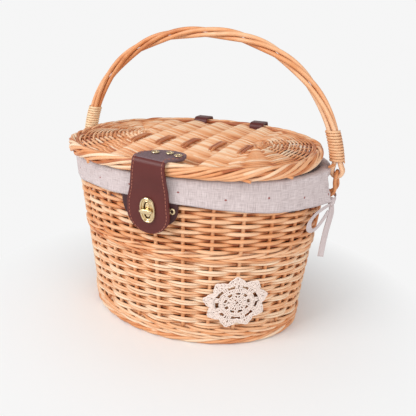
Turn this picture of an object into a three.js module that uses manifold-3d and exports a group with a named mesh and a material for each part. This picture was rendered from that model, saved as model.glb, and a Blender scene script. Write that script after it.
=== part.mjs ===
// Oval willow bicycle basket with a cloth liner, a hinged lid, a leather clasp with a turn lock,
// a swing handle and two leather handlebar straps. Millimetres, +Z up, the front faces -Y.
// The origin is under the middle of the foot, on the ground.
import * as THREE from "three";
import { mergeVertices } from "three/addons/utils/BufferGeometryUtils.js";
import Module from "manifold-3d";

// Basket body: half lengths along X and Y at the ground and at the top of the wood
const FOOT_HALF_X = 142.5;
const FOOT_HALF_Y = 107.5;
const RIM_HALF_X = 163.5;
const RIM_HALF_Y = 127.5;
const RIM_TOP = 209;
const OVAL_POWER = 1.95; // 2 is an ellipse, less is a little more pointed
const FIT_GAP = 0.3; // between pieces that touch on the real basket

// Weave bands, from the ground up
const FOOT_HEIGHT = 13;
const FOOT_DEPTH = 11;
const FOOT_PROUD = 1.5;
const FOOT_WALE_HEIGHT = 9;
const MIDDLE_WALE_BOTTOM = 113;
const MIDDLE_WALE_HEIGHT = 9;
const WALE_PROUD = 1.2;
const RIM_HEIGHT = 13;
const RIM_DEPTH = 10;
const WEAVE_THICKNESS = 4.5;
const STAKE_COUNT = 26;
const STAKE_RADIUS = 2.5;
const STAKE_SLACK = 0.2;
const UPSETT_HEIGHT = 6;

// Floor
const FLOOR_BOTTOM = 4;
const FLOOR_THICKNESS = 5;
const FLOOR_STICK_RADIUS = 2.2;
const FLOOR_LONG_STICKS = 3;
const FLOOR_LONG_PITCH = 13;
const FLOOR_CROSS_STICKS = 7;
const FLOOR_CROSS_PITCH = 27;

// Cloth liner
const CLOTH = 1.2;
const CLOTH_GAP = 0.5;
const FLAP_LENGTH = 31;
const FLAP_HEM_FRONT_RISE = 5;
const FOLD_COUNT = 12;
const FOLD_DEPTH = 1.6;
const SLIT_WIDTH = 40;
const SAG_DEPTH = 44;

// Lid
const LID_END_INSET = 8; // how far its ends stop short of the rim
const LID_FRONT_OVERHANG = 2.5;
const LID_POWER = 2.1;
const LID_FRONT_POWER = 2.5; // its front half is fuller
const LID_MIDDLE_Y = -6;
const LID_RIM_GAP = 5.6; // at its middle, over the cloth
const LID_BORDER_HEIGHT = 15;
const LID_BORDER_WIDTH = 11;
const LID_TILT_DEGREES = 1.5; // the back edge is the higher one, on its leather loops
const LID_PANEL_THICKNESS = 8;
const LID_CROWN = 3;
const LID_FAN_START = 74;
const LID_BULGE_PITCH = 32.5; // from one double rod under the weave to the next
const LID_BULGE = 2.8;
const LID_MIDDLE_BAND = 42;
const LID_ROD_PROUD = 1.3;
const LID_FAN_ROWS = 31;
const LID_FAN_RAYS = 7;
const LID_STICK_RADIUS = 1.8;
const LID_LONG_STICK_INSET = 23;
const LID_LONG_PITCH = 16;
const LID_CROSS_STICKS = 9;
const LID_CROSS_PITCH = 15;
const LID_CROSS_STICK_INSET = 17;

// Leather hinge loops at the back of the lid
const LOOP_X = 43;
const LOOP_WIDTH = 22;
const LOOP_LEATHER = 2.2;
const LOOP_CLEARANCE = 0.6;

// Swing handle and its ears
const HANDLE_Y = 10;
const PIVOT_DEPTH = 15; // below the rim
const HANDLE_RIM_GAP = 0.7; // between its eyes and the cloth over the rim
const HANDLE_LID_GAP = 7;
const HANDLE_SPRING_DEPTH = 30;
const HANDLE_RISE = 150; // above the rim
const HANDLE_POWER = 2.18;
const HANDLE_ROD_RADIUS = 2.6;
const HANDLE_ROD_SPACING = 5.8;
const HANDLE_TWIST_TURNS = 2;
const HANDLE_ARCH_STEPS = 44;
const EAR_RADIUS = 11;
const EAR_ROD_RADIUS = 2.2;
const EAR_LEG_DEPTH = 58; // below the pivot
const EAR_BEND_DEPTH = 26;
const EAR_STRAIGHT = 12;
const EAR_PROUD = 1.1;
const EYE_RADIUS = 6;
const CANE_RADIUS = 1.2;
const CANE_PITCH = 3.2;
const CANE_TURNS = 11;
const CANE_STEPS_PER_TURN = 14;
const CANE_FOOT_RISE = 6; // above the rim
const ROD_END_RADIUS = 1.7;
const ROD_END_LENGTH = 12;

// Clasp: strap, turn lock and the leather tab on the wall
const LEATHER = 3;
const STRAP_TOP_WIDTH = 44;
const STRAP_END_WIDTH = 53;
const STRAP_FOLD_RISE = 1.9; // above the top of the lid border
const STRAP_BELOW_LOCK = 26;
const STRAP_FOLD_GAP = 1.8;
const LID_FLAP_WIDTH = 46;
const LID_FLAP_LENGTH = 32;
const LID_FLAP_SHIFT = 14; // the flap is riveted on askew, to the right
const TAB_HALF_WIDTH = 36;
const TAB_HEM_GAP = 0.8; // between the cloth's hem and the tab
const TAB_HEIGHT = 31.2;
const LOCK_BELOW_TAB_TOP = 9.2;
const LOCK_HALF_WIDTH = 10;
const LOCK_HALF_HEIGHT = 16;
const LOCK_SLOT_HALF_WIDTH = 4;
const LOCK_SLOT_HALF_HEIGHT = 10;
const LOCK_PLATE = 1.6;
const KNOB_STEM_RADIUS = 2.4;
const KNOB_HALF_LENGTH = 9;
const KNOB_HALF_WIDTH = 3;
const KNOB_THICKNESS = 5;
const RIVET_RADIUS = 4.6;
const RIVET_HOLE_RADIUS = 2;
const RIVET_THICKNESS = 1.2;
const TAB_RIVET_X = 25;
const LID_RIVET_SPACING = 14;
const LID_RIVET_SHIFT = 4;

// Doily
const DOILY_RADIUS = 37;
const DOILY_POINTS = 9;
const DOILY_THICKNESS = 1.4;
const DOILY_ANGLE_DEGREES = -52;
const DOILY_Z = 62;

// Fabric tie at the right ear
const RIBBON_WIDTH = 7.5;
const RIBBON_THICKNESS = 1.2;
const TIE_ARM_WIDTH = 5;

// Handlebar straps at the back
const BAR_STRAP_X = 48;
const BAR_STRAP_WIDTH = 20;
const BAR_STRAP_LEATHER = 2.2;
const BAR_STRAP_TOP = 132;
const BAR_STRAP_BOTTOM = 98;
const BAR_DIAMETER = 31.8;
const BUCKLE_WIRE_RADIUS = 1.2;
const BUCKLE_HEIGHT = 20;
const BUCKLE_MARGIN = 2.5;
const PRONG_RADIUS = 0.9;

const SEGMENTS = 56;
const CLOTH_SEGMENTS = 6 * FOLD_COUNT;
const DEGREE = Math.PI / 180;
const LID_HALF_X = RIM_HALF_X - LID_END_INSET;
const LID_HALF_Y = RIM_HALF_Y + LID_FRONT_OVERHANG;
const LID_BOTTOM = RIM_TOP + LID_RIM_GAP;
const STRAP_FOLD_Z = LID_BOTTOM + LID_BORDER_HEIGHT + STRAP_FOLD_RISE;
const PIVOT_Z = RIM_TOP - PIVOT_DEPTH;
const HANDLE_SPRING_Z = RIM_TOP - HANDLE_SPRING_DEPTH;
const HANDLE_TOP = RIM_TOP + HANDLE_RISE;
const CANE_FOOT_Z = RIM_TOP + CANE_FOOT_RISE;
const FLAP_HEM = RIM_TOP - FLAP_LENGTH;
const SAG_TOP = RIM_TOP - SAG_DEPTH;
const TAB_TOP = FLAP_HEM + FLAP_HEM_FRONT_RISE - TAB_HEM_GAP;
const TAB_BOTTOM = TAB_TOP - TAB_HEIGHT;
const LOCK_Z = TAB_TOP - LOCK_BELOW_TAB_TOP;
const STRAP_END_Z = LOCK_Z - STRAP_BELOW_LOCK;

const wasm = await Module();
wasm.setup();

// Materials
const willow = (color) => new THREE.MeshStandardMaterial({ color, roughness: 0.62, metalness: 0 });
const paleWillow = willow(0xdcae74);
const midWillow = willow(0xcf955a);
const redWillow = willow(0xb9784a);
const cane = willow(0xdfb887);
const linen = new THREE.MeshStandardMaterial({ color: 0xe4d8d6, roughness: 0.95, metalness: 0 });
const leather = new THREE.MeshStandardMaterial({ color: 0x5d2a26, roughness: 0.5, metalness: 0 });
const brass = new THREE.MeshStandardMaterial({ color: 0xd8bd72, roughness: 0.28, metalness: 1 });
const lace = new THREE.MeshStandardMaterial({ color: 0xede4d2, roughness: 0.95, metalness: 0 });

// Solids
function toSolid(geometry) {
  const bare = geometry.index ? geometry.toNonIndexed() : geometry.clone();
  const points = new THREE.BufferGeometry();
  points.setAttribute("position", bare.getAttribute("position"));
  const merged = mergeVertices(points, 1e-4);
  return new wasm.Manifold(
    new wasm.Mesh({
      numProp: 3,
      vertProperties: new Float32Array(merged.attributes.position.array),
      triVerts: new Uint32Array(merged.index.array),
    }),
  );
}

function toGeometry(solid) {
  const mesh = solid.getMesh();
  const geometry = new THREE.BufferGeometry();
  geometry.setAttribute("position", new THREE.BufferAttribute(mesh.vertProperties, 3));
  geometry.setIndex(new THREE.BufferAttribute(mesh.triVerts, 1));
  return geometry;
}

function cut(geometry, ...tools) {
  let solid = toSolid(geometry);
  for (const tool of tools) solid = solid.subtract(toSolid(tool));
  return toGeometry(solid);
}

function join(geometry, ...others) {
  let solid = toSolid(geometry);
  for (const other of others) solid = solid.add(toSolid(other));
  return toGeometry(solid);
}

function keepInside(geometry, tool) {
  return toGeometry(toSolid(geometry).intersect(toSolid(tool)));
}

// A closed surface from points and triangles, turned so that its faces point out
function closedSurface(points, triangles) {
  const a = new THREE.Vector3();
  const b = new THREE.Vector3();
  const c = new THREE.Vector3();
  let volume = 0;
  for (const [i, j, k] of triangles) {
    a.fromArray(points[i]);
    b.fromArray(points[j]);
    c.fromArray(points[k]);
    volume += a.dot(b.cross(c));
  }
  const ordered = volume < 0 ? triangles.map(([i, j, k]) => [i, k, j]) : triangles;
  const geometry = new THREE.BufferGeometry();
  geometry.setAttribute("position", new THREE.Float32BufferAttribute(points.flat(), 3));
  geometry.setIndex(ordered.flat());
  return geometry;
}

function quad(triangles, a, b, c, d) {
  triangles.push([a, b, c], [a, c, d]);
}

// Rings of points, each with as many points, joined to a skin. The rings close into a loop,
// or the first and last ring are capped from their middles.
function skinOver(rings, closed) {
  const sides = rings[0].length;
  const points = rings.flat();
  const triangles = [];
  const last = closed ? rings.length : rings.length - 1;
  for (let r = 0; r < last; r += 1) {
    const next = (r + 1) % rings.length;
    for (let s = 0; s < sides; s += 1) {
      const t = (s + 1) % sides;
      quad(triangles, r * sides + s, r * sides + t, next * sides + t, next * sides + s);
    }
  }
  if (!closed) {
    for (const [r, turn] of [[0, 1], [rings.length - 1, -1]]) {
      const middle = [0, 1, 2].map((i) => rings[r].reduce((sum, p) => sum + p[i], 0) / sides);
      const centre = points.push(middle) - 1;
      for (let s = 0; s < sides; s += 1) {
        const t = (s + 1) % sides;
        const edge = [r * sides + s, r * sides + t];
        triangles.push(turn > 0 ? [centre, edge[1], edge[0]] : [centre, edge[0], edge[1]]);
      }
    }
  }
  return closedSurface(points, triangles);
}

// A round rod of willow, cane or wire along a list of points
function rod(points, radius, sides = 6, closed = false) {
  const path = points.map((p) => new THREE.Vector3(...p));
  const count = path.length;
  const tangents = path.map((p, i) => {
    const before = path[closed ? (i + count - 1) % count : Math.max(i - 1, 0)];
    const after = path[closed ? (i + 1) % count : Math.min(i + 1, count - 1)];
    return after.clone().sub(before).normalize();
  });
  let normal = new THREE.Vector3(0, 1, 0);
  if (Math.abs(tangents[0].y) > 0.9) normal = new THREE.Vector3(1, 0, 0);
  const rings = path.map((p, i) => {
    const t = tangents[i];
    normal.sub(t.clone().multiplyScalar(normal.dot(t))).normalize();
    const other = t.clone().cross(normal);
    return Array.from({ length: sides }, (_, s) => {
      const angle = (2 * Math.PI * s) / sides;
      const out = normal.clone().multiplyScalar(radius * Math.cos(angle));
      out.add(other.clone().multiplyScalar(radius * Math.sin(angle)));
      return p.clone().add(out).toArray();
    });
  });
  return skinOver(rings, closed);
}

// A flat strip: stations of {middle, across, width, thickness direction}
function strip(stations, thickness) {
  return skinOver(
    stations.map(({ middle, across, width, face }) => {
      const corners = [[-1, -1], [1, -1], [1, 1], [-1, 1]];
      return corners.map(([u, v]) =>
        middle.map((m, i) => m + (u * across[i] * width) / 2 + (v * face[i] * thickness) / 2),
      );
    }),
    false,
  );
}

// A strip whose path lies in a plane of constant X: path of [y, z], widths along X
function strapInYZ(path, widths, thickness) {
  return strip(
    path.map(([y, z, x = 0], i) => {
      const before = path[Math.max(i - 1, 0)];
      const after = path[Math.min(i + 1, path.length - 1)];
      const length = Math.hypot(after[0] - before[0], after[1] - before[1]);
      const face = [0, -(after[1] - before[1]) / length, (after[0] - before[0]) / length];
      return { middle: [x, y, z], across: [1, 0, 0], width: widths[i], face };
    }),
    thickness,
  );
}

// Ovals
function ovalPoint(halfX, halfY, power, angle) {
  const c = Math.cos(angle);
  const s = Math.sin(angle);
  return [
    halfX * Math.sign(c) * Math.abs(c) ** (2 / power),
    halfY * Math.sign(s) * Math.abs(s) ** (2 / power),
  ];
}

// The Y of an oval at an X
function ovalY(halfX, halfY, power, x) {
  return halfY * (1 - (Math.abs(x) / halfX) ** power) ** (1 / power);
}

const wallHalfX = (z) => FOOT_HALF_X + ((RIM_HALF_X - FOOT_HALF_X) * z) / RIM_TOP;
const wallHalfY = (z) => FOOT_HALF_Y + ((RIM_HALF_Y - FOOT_HALF_Y) * z) / RIM_TOP;

// A point at a height, "out" mm outside the face of the woven wall
function wallPoint(angle, z, out) {
  const [x, y] = ovalPoint(wallHalfX(z) + out, wallHalfY(z) + out, OVAL_POWER, angle);
  return [x, y, z];
}

// A closed section of [out, z], carried round the wall
function bandRound(section, segments = SEGMENTS) {
  return skinOver(
    Array.from({ length: segments }, (_, k) =>
      section.map(([out, z]) => wallPoint((2 * Math.PI * k) / segments, z, out)),
    ),
    true,
  );
}

// A rounded border section between two offsets and two heights
function borderSection(inner, outer, bottom, top) {
  const chamfer = Math.min(outer - inner, top - bottom) * 0.3;
  return [
    [inner + chamfer, bottom], [outer - chamfer, bottom], [outer, bottom + chamfer],
    [outer, top - chamfer], [outer - chamfer, top], [inner + chamfer, top],
    [inner, top - chamfer], [inner, bottom + chamfer],
  ];
}

const boxBand = (inner, outer, bottom, top) => [
  [inner, bottom], [outer, bottom], [outer, top], [inner, top],
];

// A domed plate: rings of an oval that shrink to the middle, over a flat underside
function domedPlate(halfX, halfY, powerAt, bottom, thickness, crown, segments = SEGMENTS) {
  const rings = [1, 0.72, 0.4, 0.02];
  const ring = (share, z) =>
    Array.from({ length: segments }, (_, k) => {
      const angle = (2 * Math.PI * k) / segments;
      const [x, y] = ovalPoint(halfX * share, halfY * share, powerAt(angle), angle);
      return [x, y, z];
    });
  const under = [...rings].reverse().map((share) => ring(share, bottom));
  const over = rings.map((share) => ring(share, bottom + thickness + crown * (1 - share ** 2)));
  return skinOver([...under, ...over], false);
}

function box(x0, x1, y0, y1, z0, z1) {
  const geometry = new THREE.BoxGeometry(x1 - x0, y1 - y0, z1 - z0);
  geometry.translate((x0 + x1) / 2, (y0 + y1) / 2, (z0 + z1) / 2);
  return geometry;
}

// The scene graph
const basket = new THREE.Group();
function add(parent, name, geometry, material) {
  const mesh = new THREE.Mesh(geometry, material);
  mesh.name = name;
  parent.add(mesh);
  return mesh;
}

// Heights that follow from the bands
const footWaleBottom = FOOT_HEIGHT + FIT_GAP;
const footWaleTop = footWaleBottom + FOOT_WALE_HEIGHT;
const middleWaleTop = MIDDLE_WALE_BOTTOM + MIDDLE_WALE_HEIGHT;
const rimBottom = RIM_TOP - RIM_HEIGHT;
const stakeOut = -(WEAVE_THICKNESS + FIT_GAP + STAKE_RADIUS + STAKE_SLACK);
const clothAtRim = -(RIM_DEPTH + CLOTH_GAP);
const clothInside = stakeOut - STAKE_RADIUS - BAR_STRAP_LEATHER - 3 * CLOTH_GAP;

function makeFloor() {
  const halfX = FOOT_HALF_X - FOOT_DEPTH - 2 * FIT_GAP;
  const halfY = FOOT_HALF_Y - FOOT_DEPTH - 2 * FIT_GAP;
  const plate = domedPlate(halfX, halfY, () => OVAL_POWER, FLOOR_BOTTOM, FLOOR_THICKNESS, 0);
  add(basket, "floor_weave", plate, paleWillow);
  const z = FLOOR_BOTTOM + FLOOR_THICKNESS + FIT_GAP + FLOOR_STICK_RADIUS;
  const sticks = [];
  const reach = (half, other, at) => half * Math.sqrt(1 - (at / other) ** 2) - 6;
  for (let i = 0; i < FLOOR_LONG_STICKS; i += 1) {
    const y = (i - (FLOOR_LONG_STICKS - 1) / 2) * FLOOR_LONG_PITCH;
    const end = reach(halfX, halfY, y);
    sticks.push(rod([[-end, y, z], [end, y, z]], FLOOR_STICK_RADIUS));
  }
  for (let i = 0; i < FLOOR_CROSS_STICKS; i += 1) {
    const x = (i - (FLOOR_CROSS_STICKS - 1) / 2) * FLOOR_CROSS_PITCH;
    const end = reach(halfY, halfX, x);
    sticks.push(rod([[x, -end, z], [x, end, z]], FLOOR_STICK_RADIUS));
  }
  add(basket, "floor_sticks", join(...sticks), redWillow);
}

// Angles that share the oval of the wall at a height in even lengths, from the middle of the front
function evenAngles(count, z) {
  const fine = 720;
  const lengths = [0];
  for (let i = 1; i <= fine; i += 1) {
    const a = wallPoint(-Math.PI / 2 + (2 * Math.PI * (i - 1)) / fine, z, 0);
    const b = wallPoint(-Math.PI / 2 + (2 * Math.PI * i) / fine, z, 0);
    lengths.push(lengths[i - 1] + Math.hypot(b[0] - a[0], b[1] - a[1]));
  }
  return Array.from({ length: count }, (_, k) => {
    const wanted = (lengths[fine] * k) / count;
    const i = Math.max(1, lengths.findIndex((length) => length >= wanted));
    const share = (wanted - lengths[i - 1]) / (lengths[i] - lengths[i - 1]);
    return -Math.PI / 2 + (2 * Math.PI * (i - 1 + share)) / fine;
  });
}

function makeStakes() {
  const bottom = footWaleBottom + FIT_GAP;
  const top = rimBottom - LOOP_CLEARANCE - LOOP_LEATHER - 2 * FIT_GAP; // under the hinge loops
  const ring = bandRound(
    boxBand(stakeOut - STAKE_RADIUS, stakeOut + STAKE_RADIUS, bottom, bottom + UPSETT_HEIGHT),
  );
  const stakes = [];
  for (const angle of evenAngles(STAKE_COUNT, MIDDLE_WALE_BOTTOM)) {
    stakes.push(
      rod([wallPoint(angle, bottom, stakeOut), wallPoint(angle, top, stakeOut)], STAKE_RADIUS * 0.99),
    );
  }
  add(basket, "stakes", join(ring, ...stakes), midWillow);
}

// The ear: a rod bent to an upside-down U, whose legs run down into grooves of the weave
function earPath(side, deeper = 0) {
  const top = PIVOT_Z;
  const points = [];
  const archX = side * eyeX;
  const legOut = EAR_PROUD - EAR_ROD_RADIUS;
  const foot = top - EAR_LEG_DEPTH - deeper;
  const bend = top - EAR_BEND_DEPTH;
  const leg = (y) => {
    const low = [];
    for (const z of [foot, (foot + bend) / 2, bend]) {
      const half = wallHalfX(z) + legOut;
      const x = half * (1 - Math.abs(y / (wallHalfY(z) + legOut)) ** OVAL_POWER) ** (1 / OVAL_POWER);
      low.push([side * x, y, z]);
    }
    return [...low, [archX, y, top - EAR_STRAIGHT]];
  };
  points.push(...leg(HANDLE_Y - EAR_RADIUS));
  for (let i = 0; i <= 8; i += 1) {
    const angle = Math.PI - (Math.PI * i) / 8;
    const y = HANDLE_Y + EAR_RADIUS * Math.cos(angle);
    points.push([archX, y, top + EAR_RADIUS * Math.sin(angle)]);
  }
  points.push(...leg(HANDLE_Y + EAR_RADIUS).reverse());
  return points;
}

// Handle: the middle line of its bundle of four strands, an arch from foot to foot
const bundleRadius = HANDLE_ROD_SPACING / Math.SQRT2 + HANDLE_ROD_RADIUS;
const bindingRadius = bundleRadius + 2 * FIT_GAP + 2 * CANE_RADIUS;
const archHalf = Math.max(
  RIM_HALF_X + CLOTH_GAP + HANDLE_RIM_GAP + EYE_RADIUS + HANDLE_ROD_RADIUS,
  LID_HALF_X + HANDLE_LID_GAP + bindingRadius,
);
const archRise = HANDLE_TOP - bundleRadius - HANDLE_SPRING_Z;
function archPoint(angle) {
  const [x, rise] = ovalPoint(archHalf, archRise, HANDLE_POWER, angle);
  return [x, HANDLE_Y, HANDLE_SPRING_Z + rise];
}
const archAngleAt = (z) => Math.asin(((z - HANDLE_SPRING_Z) / archRise) ** (HANDLE_POWER / 2));
const eyeZ = PIVOT_Z + EAR_RADIUS;
const eyeX = archPoint(archAngleAt(eyeZ))[0];
const strandStart = archAngleAt(CANE_FOOT_Z + 1);

// One strand of the bundle at a share 0..1 of the arch, from the left foot to the right one
function strandPoint(strand, share) {
  const angle = Math.PI - strandStart - share * (Math.PI - 2 * strandStart);
  const middle = archPoint(angle);
  const ahead = archPoint(angle - 0.001);
  const dx = ahead[0] - middle[0];
  const dz = ahead[2] - middle[2];
  const length = Math.hypot(dx, dz);
  const eased = share * share * (3 - 2 * share);
  const turn = Math.PI / 4 + (strand * Math.PI) / 2 + 2 * Math.PI * HANDLE_TWIST_TURNS * eased;
  const radius = HANDLE_ROD_SPACING / Math.SQRT2;
  const out = radius * Math.cos(turn);
  return [
    middle[0] - (out * dz) / length,
    middle[1] + radius * Math.sin(turn),
    middle[2] + (out * dx) / length,
  ];
}

// The eye at a foot: from one strand down round the ear and up to the other strand
function eyePoints(side, y, from) {
  const points = [];
  const steps = 10;
  const spread = 215 * DEGREE;
  for (let i = 0; i <= steps; i += 1) {
    const angle = -Math.PI / 2 + from * side * (spread / 2 - (spread * i) / steps);
    points.push([side * eyeX + EYE_RADIUS * Math.cos(angle), y, eyeZ + EYE_RADIUS * Math.sin(angle)]);
  }
  return points;
}

// A handle rod goes over the arch, round the right ear, back, and round the left ear
function handleRod(first, second) {
  const share = (i) => i / HANDLE_ARCH_STEPS;
  const steps = Array.from({ length: HANDLE_ARCH_STEPS + 1 }, (_, i) => share(i));
  const there = steps.map((s) => strandPoint(first, s));
  const back = [...steps].reverse().map((s) => strandPoint(second, s));
  const y = there[0][1];
  const outFirst = Math.abs(there.at(-1)[0]) > Math.abs(back[0][0]) ? 1 : -1;
  const right = eyePoints(1, y, outFirst);
  const left = eyePoints(-1, y, outFirst).reverse();
  const start = there.shift();
  const butt = [0, 1, 2].map((i) => start[i] + 0.25 * (there[0][i] - start[i]));
  return rod([butt, ...there, ...right, ...back, ...left, start], HANDLE_ROD_RADIUS, 6);
}

function makeHandle() {
  add(basket, "handle_rod_front", handleRod(3, 2), midWillow);
  add(basket, "handle_rod_back", handleRod(0, 1), paleWillow);
  const radius = bundleRadius + 2 * FIT_GAP + CANE_RADIUS;
  for (const [name, side] of [["left", -1], ["right", 1]]) {
    const steps = CANE_TURNS * CANE_STEPS_PER_TURN;
    const points = [];
    for (let i = 0; i <= steps; i += 1) {
      const z = CANE_FOOT_Z + CANE_RADIUS + (CANE_PITCH * i) / CANE_STEPS_PER_TURN;
      const angle = archAngleAt(z);
      const middle = archPoint(angle);
      const turn = (2 * Math.PI * i) / CANE_STEPS_PER_TURN;
      const x = side * (middle[0] + radius * Math.cos(turn));
      points.push([x, HANDLE_Y + radius * Math.sin(turn), z]);
    }
    console.log(`binding_${name}: least gap to itself ${leastGap(points).toFixed(2)} mm`);
    add(basket, `binding_${name}`, rod(points, CANE_RADIUS, 6), cane);
  }
  const x = archPoint(archAngleAt(CANE_FOOT_Z))[0] - HANDLE_ROD_SPACING / 2;
  const y = HANDLE_Y - HANDLE_ROD_SPACING / 2 - HANDLE_ROD_RADIUS - 2 * FIT_GAP;
  const z = CANE_FOOT_Z - ROD_END_RADIUS - FIT_GAP;
  const end = [x - 3, y - ROD_END_LENGTH, z];
  add(basket, "rod_end_right", rod([[x, y, z], end], ROD_END_RADIUS), midWillow);
}

// The least gap of a winding to itself: points half a turn or more apart, less its thickness
function leastGap(points) {
  let least = Infinity;
  points.forEach((p, i) => {
    for (let j = i + CANE_STEPS_PER_TURN / 2; j < points.length; j += 1) {
      const q = points[j];
      least = Math.min(least, Math.hypot(p[0] - q[0], p[1] - q[1], p[2] - q[2]));
    }
  });
  return least - 2 * CANE_RADIUS;
}

// Cloth: floor and walls inside, over the rim, and a flap outside that hangs in soft folds
function makeLiner() {
  const top = RIM_TOP + CLOTH_GAP;
  const floorTop = FLOOR_BOTTOM + FLOOR_THICKNESS + 2 * FIT_GAP + 2 * FLOOR_STICK_RADIUS;
  const hem = (angle) => FLAP_HEM + FLAP_HEM_FRONT_RISE * Math.max(0, -Math.sin(angle)) ** 2;
  const wave = (angle) => (FOLD_DEPTH * (1 - Math.cos(FOLD_COUNT * angle))) / 2;
  const ringAt = (out, z, folded = 0) =>
    Array.from({ length: CLOTH_SEGMENTS }, (_, k) => {
      const angle = (2 * Math.PI * k) / CLOTH_SEGMENTS;
      return wallPoint(angle, typeof z === "number" ? z : z(angle), out + folded * wave(angle));
    });
  const middleOfFlap = (angle) => (hem(angle) + top) / 2;
  const floorRing = (z) =>
    Array.from({ length: CLOTH_SEGMENTS }, (_, k) => {
      const [x, y] = ovalPoint(10, 8, OVAL_POWER, (2 * Math.PI * k) / CLOTH_SEGMENTS);
      return [x, y, z];
    });
  const outside = CLOTH_GAP;
  const rings = [
    floorRing(floorTop), ringAt(clothInside, floorTop), ringAt(clothInside, SAG_TOP),
    ringAt(clothAtRim, rimBottom), ringAt(clothAtRim, top),
    ringAt(outside, top), ringAt(outside, middleOfFlap, 0.35), ringAt(outside, hem, 1),
    ringAt(outside + CLOTH, hem, 1), ringAt(outside + CLOTH, middleOfFlap, 0.35),
    ringAt(outside + CLOTH, top), ringAt(outside - 1, top + CLOTH),
    ringAt(clothAtRim - CLOTH + 1, top + CLOTH), ringAt(clothAtRim - CLOTH, top - 1),
    ringAt(clothAtRim - CLOTH, rimBottom), ringAt(clothInside - CLOTH, SAG_TOP),
    ringAt(clothInside - CLOTH, floorTop + CLOTH), floorRing(floorTop + CLOTH),
  ];
  const low = HANDLE_Y - SLIT_WIDTH / 2;
  const slits = [-1, 1].map((side) => {
    const x = side * wallHalfX(RIM_TOP);
    const reach = wallHalfX(RIM_TOP) / 5;
    return box(x - reach, x + reach, low, low + SLIT_WIDTH, FLAP_HEM - 10, RIM_TOP + 2 * CLOTH);
  });
  return cut(skinOver(rings, false), ...slits.map((slit) => keepOutside(slit)));
}

// Only the part of a tool that lies outside the woven wall, so a slit spares the cloth inside
function keepOutside(tool) {
  const inside = bandRound(boxBand(10 - wallHalfY(0), CLOTH_GAP / 2, 0, RIM_TOP + 5));
  return cut(tool, inside);
}

// Hinge loop: leather round the lid's back border and the rim border
function hingeLoop(x, grow) {
  const tiltRise = LID_HALF_Y * Math.sin(LID_TILT_DEGREES * DEGREE);
  const lidTop = LID_BOTTOM + LID_BORDER_HEIGHT + tiltRise;
  const half = LOOP_LEATHER / 2;
  const clear = LOOP_CLEARANCE + half;
  const near = Math.abs(x) - LOOP_WIDTH / 2;
  const far = Math.abs(x) + LOOP_WIDTH / 2;
  const lidBack = LID_MIDDLE_Y + ovalY(LID_HALF_X, LID_HALF_Y, LID_POWER, near);
  const flapOut = CLOTH_GAP + CLOTH + FOLD_DEPTH;
  const flapBack = flapOut + ovalY(RIM_HALF_X, RIM_HALF_Y, OVAL_POWER, near);
  const outer = Math.max(lidBack, flapBack) + clear;
  const borderX = LID_HALF_X - LID_BORDER_WIDTH;
  const borderY = LID_HALF_Y - LID_BORDER_WIDTH;
  const rimInner = ovalY(RIM_HALF_X - RIM_DEPTH, RIM_HALF_Y - RIM_DEPTH, OVAL_POWER, far);
  const lidInner = LID_MIDDLE_Y + ovalY(borderX, borderY, LID_POWER, far);
  const inner = Math.min(lidInner, rimInner) - clear - LOOP_CLEARANCE;
  const bottom = rimBottom - clear;
  const top = lidTop + clear;
  const bend = 4;
  const path = [
    [inner + bend, bottom], [outer - bend, bottom], [outer - 1, bottom + 1], [outer, bottom + bend],
    [outer, top - bend], [outer - 1, top - 1], [outer - bend, top],
    [inner + bend, top - 0.4], [inner + 1, top - 1.4], [inner, top - bend], [inner, bottom + bend],
    [inner + 1, bottom + 1],
  ];
  const thickness = half + grow;
  const width = LOOP_WIDTH / 2 + grow;
  const rings = path.map(([y, z], i) => {
    const before = path[(i + path.length - 1) % path.length];
    const after = path[(i + 1) % path.length];
    const length = Math.hypot(after[0] - before[0], after[1] - before[1]);
    const out = [(after[1] - before[1]) / length, -(after[0] - before[0]) / length];
    const corner = (u, v) => [x + u * width, y + v * out[0] * thickness, z + v * out[1] * thickness];
    return [corner(-1, -1), corner(1, -1), corner(1, 1), corner(-1, 1)];
  });
  return skinOver(rings, true);
}

// Lid, flat at first: the group tilts it
const lidPower = (angle) => (Math.sin(angle) < 0 ? LID_FRONT_POWER : LID_POWER);

// The lid's weave bulges over double rods that run from front to back under it. In a band across
// the middle the rods come out on top and the weave bulges between them.
function centreRows(dome, halfY) {
  const step = LID_BULGE_PITCH / 8;
  const shift = LID_BULGE_PITCH / 4;
  const columns = Math.ceil((LID_FAN_START + shift) / step) + 1;
  const band = LID_MIDDLE_BAND / 2;
  const places = [band - 3, band + 3, band * 2, halfY * 0.6, halfY * 0.8, halfY + 2];
  const rows = [...places.map((y) => -y).reverse(), 0, ...places];
  return rows.map((y) =>
    Array.from({ length: 2 * columns + 1 }, (_, i) => {
      const x = shift + (i - columns) * step;
      const inBand = Math.abs(y) < band;
      const bulge = Math.cos((Math.PI * (i - columns)) / 4) * (inBand ? -1 : 1);
      const onRod = inBand && (i - columns) % 8 === 0;
      const relief = onRod ? -LID_ROD_PROUD : (LID_BULGE * (1 - bulge)) / 2;
      return [x, y, dome(x, y) - relief];
    }),
  );
}

// At the ends each turn of the weave goes over one ray and under the next
function fanRows(dome, side) {
  const halfX = LID_HALF_X * 1.03;
  const halfY = LID_HALF_Y * 1.03;
  return Array.from({ length: LID_FAN_ROWS + 1 }, (_, r) =>
    Array.from({ length: LID_FAN_RAYS + 1 }, (__, k) => {
      const turned = (2 * k) / LID_FAN_RAYS - 1;
      const power = turned < 0 ? LID_FRONT_POWER : LID_POWER;
      const widest = Math.acos((LID_FAN_START / halfX) ** (power / 2));
      const [outX, outY] = ovalPoint(halfX, halfY, power, turned * widest);
      const share = r / LID_FAN_ROWS;
      const x = side * (LID_FAN_START - (r === 0 ? 1 : 0) + (outX - LID_FAN_START) * share);
      const y = outY * Math.max(share, 0.01);
      return [x, y, dome(x, y) - ((r + k) % 2) * LID_BULGE];
    }),
  );
}

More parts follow.
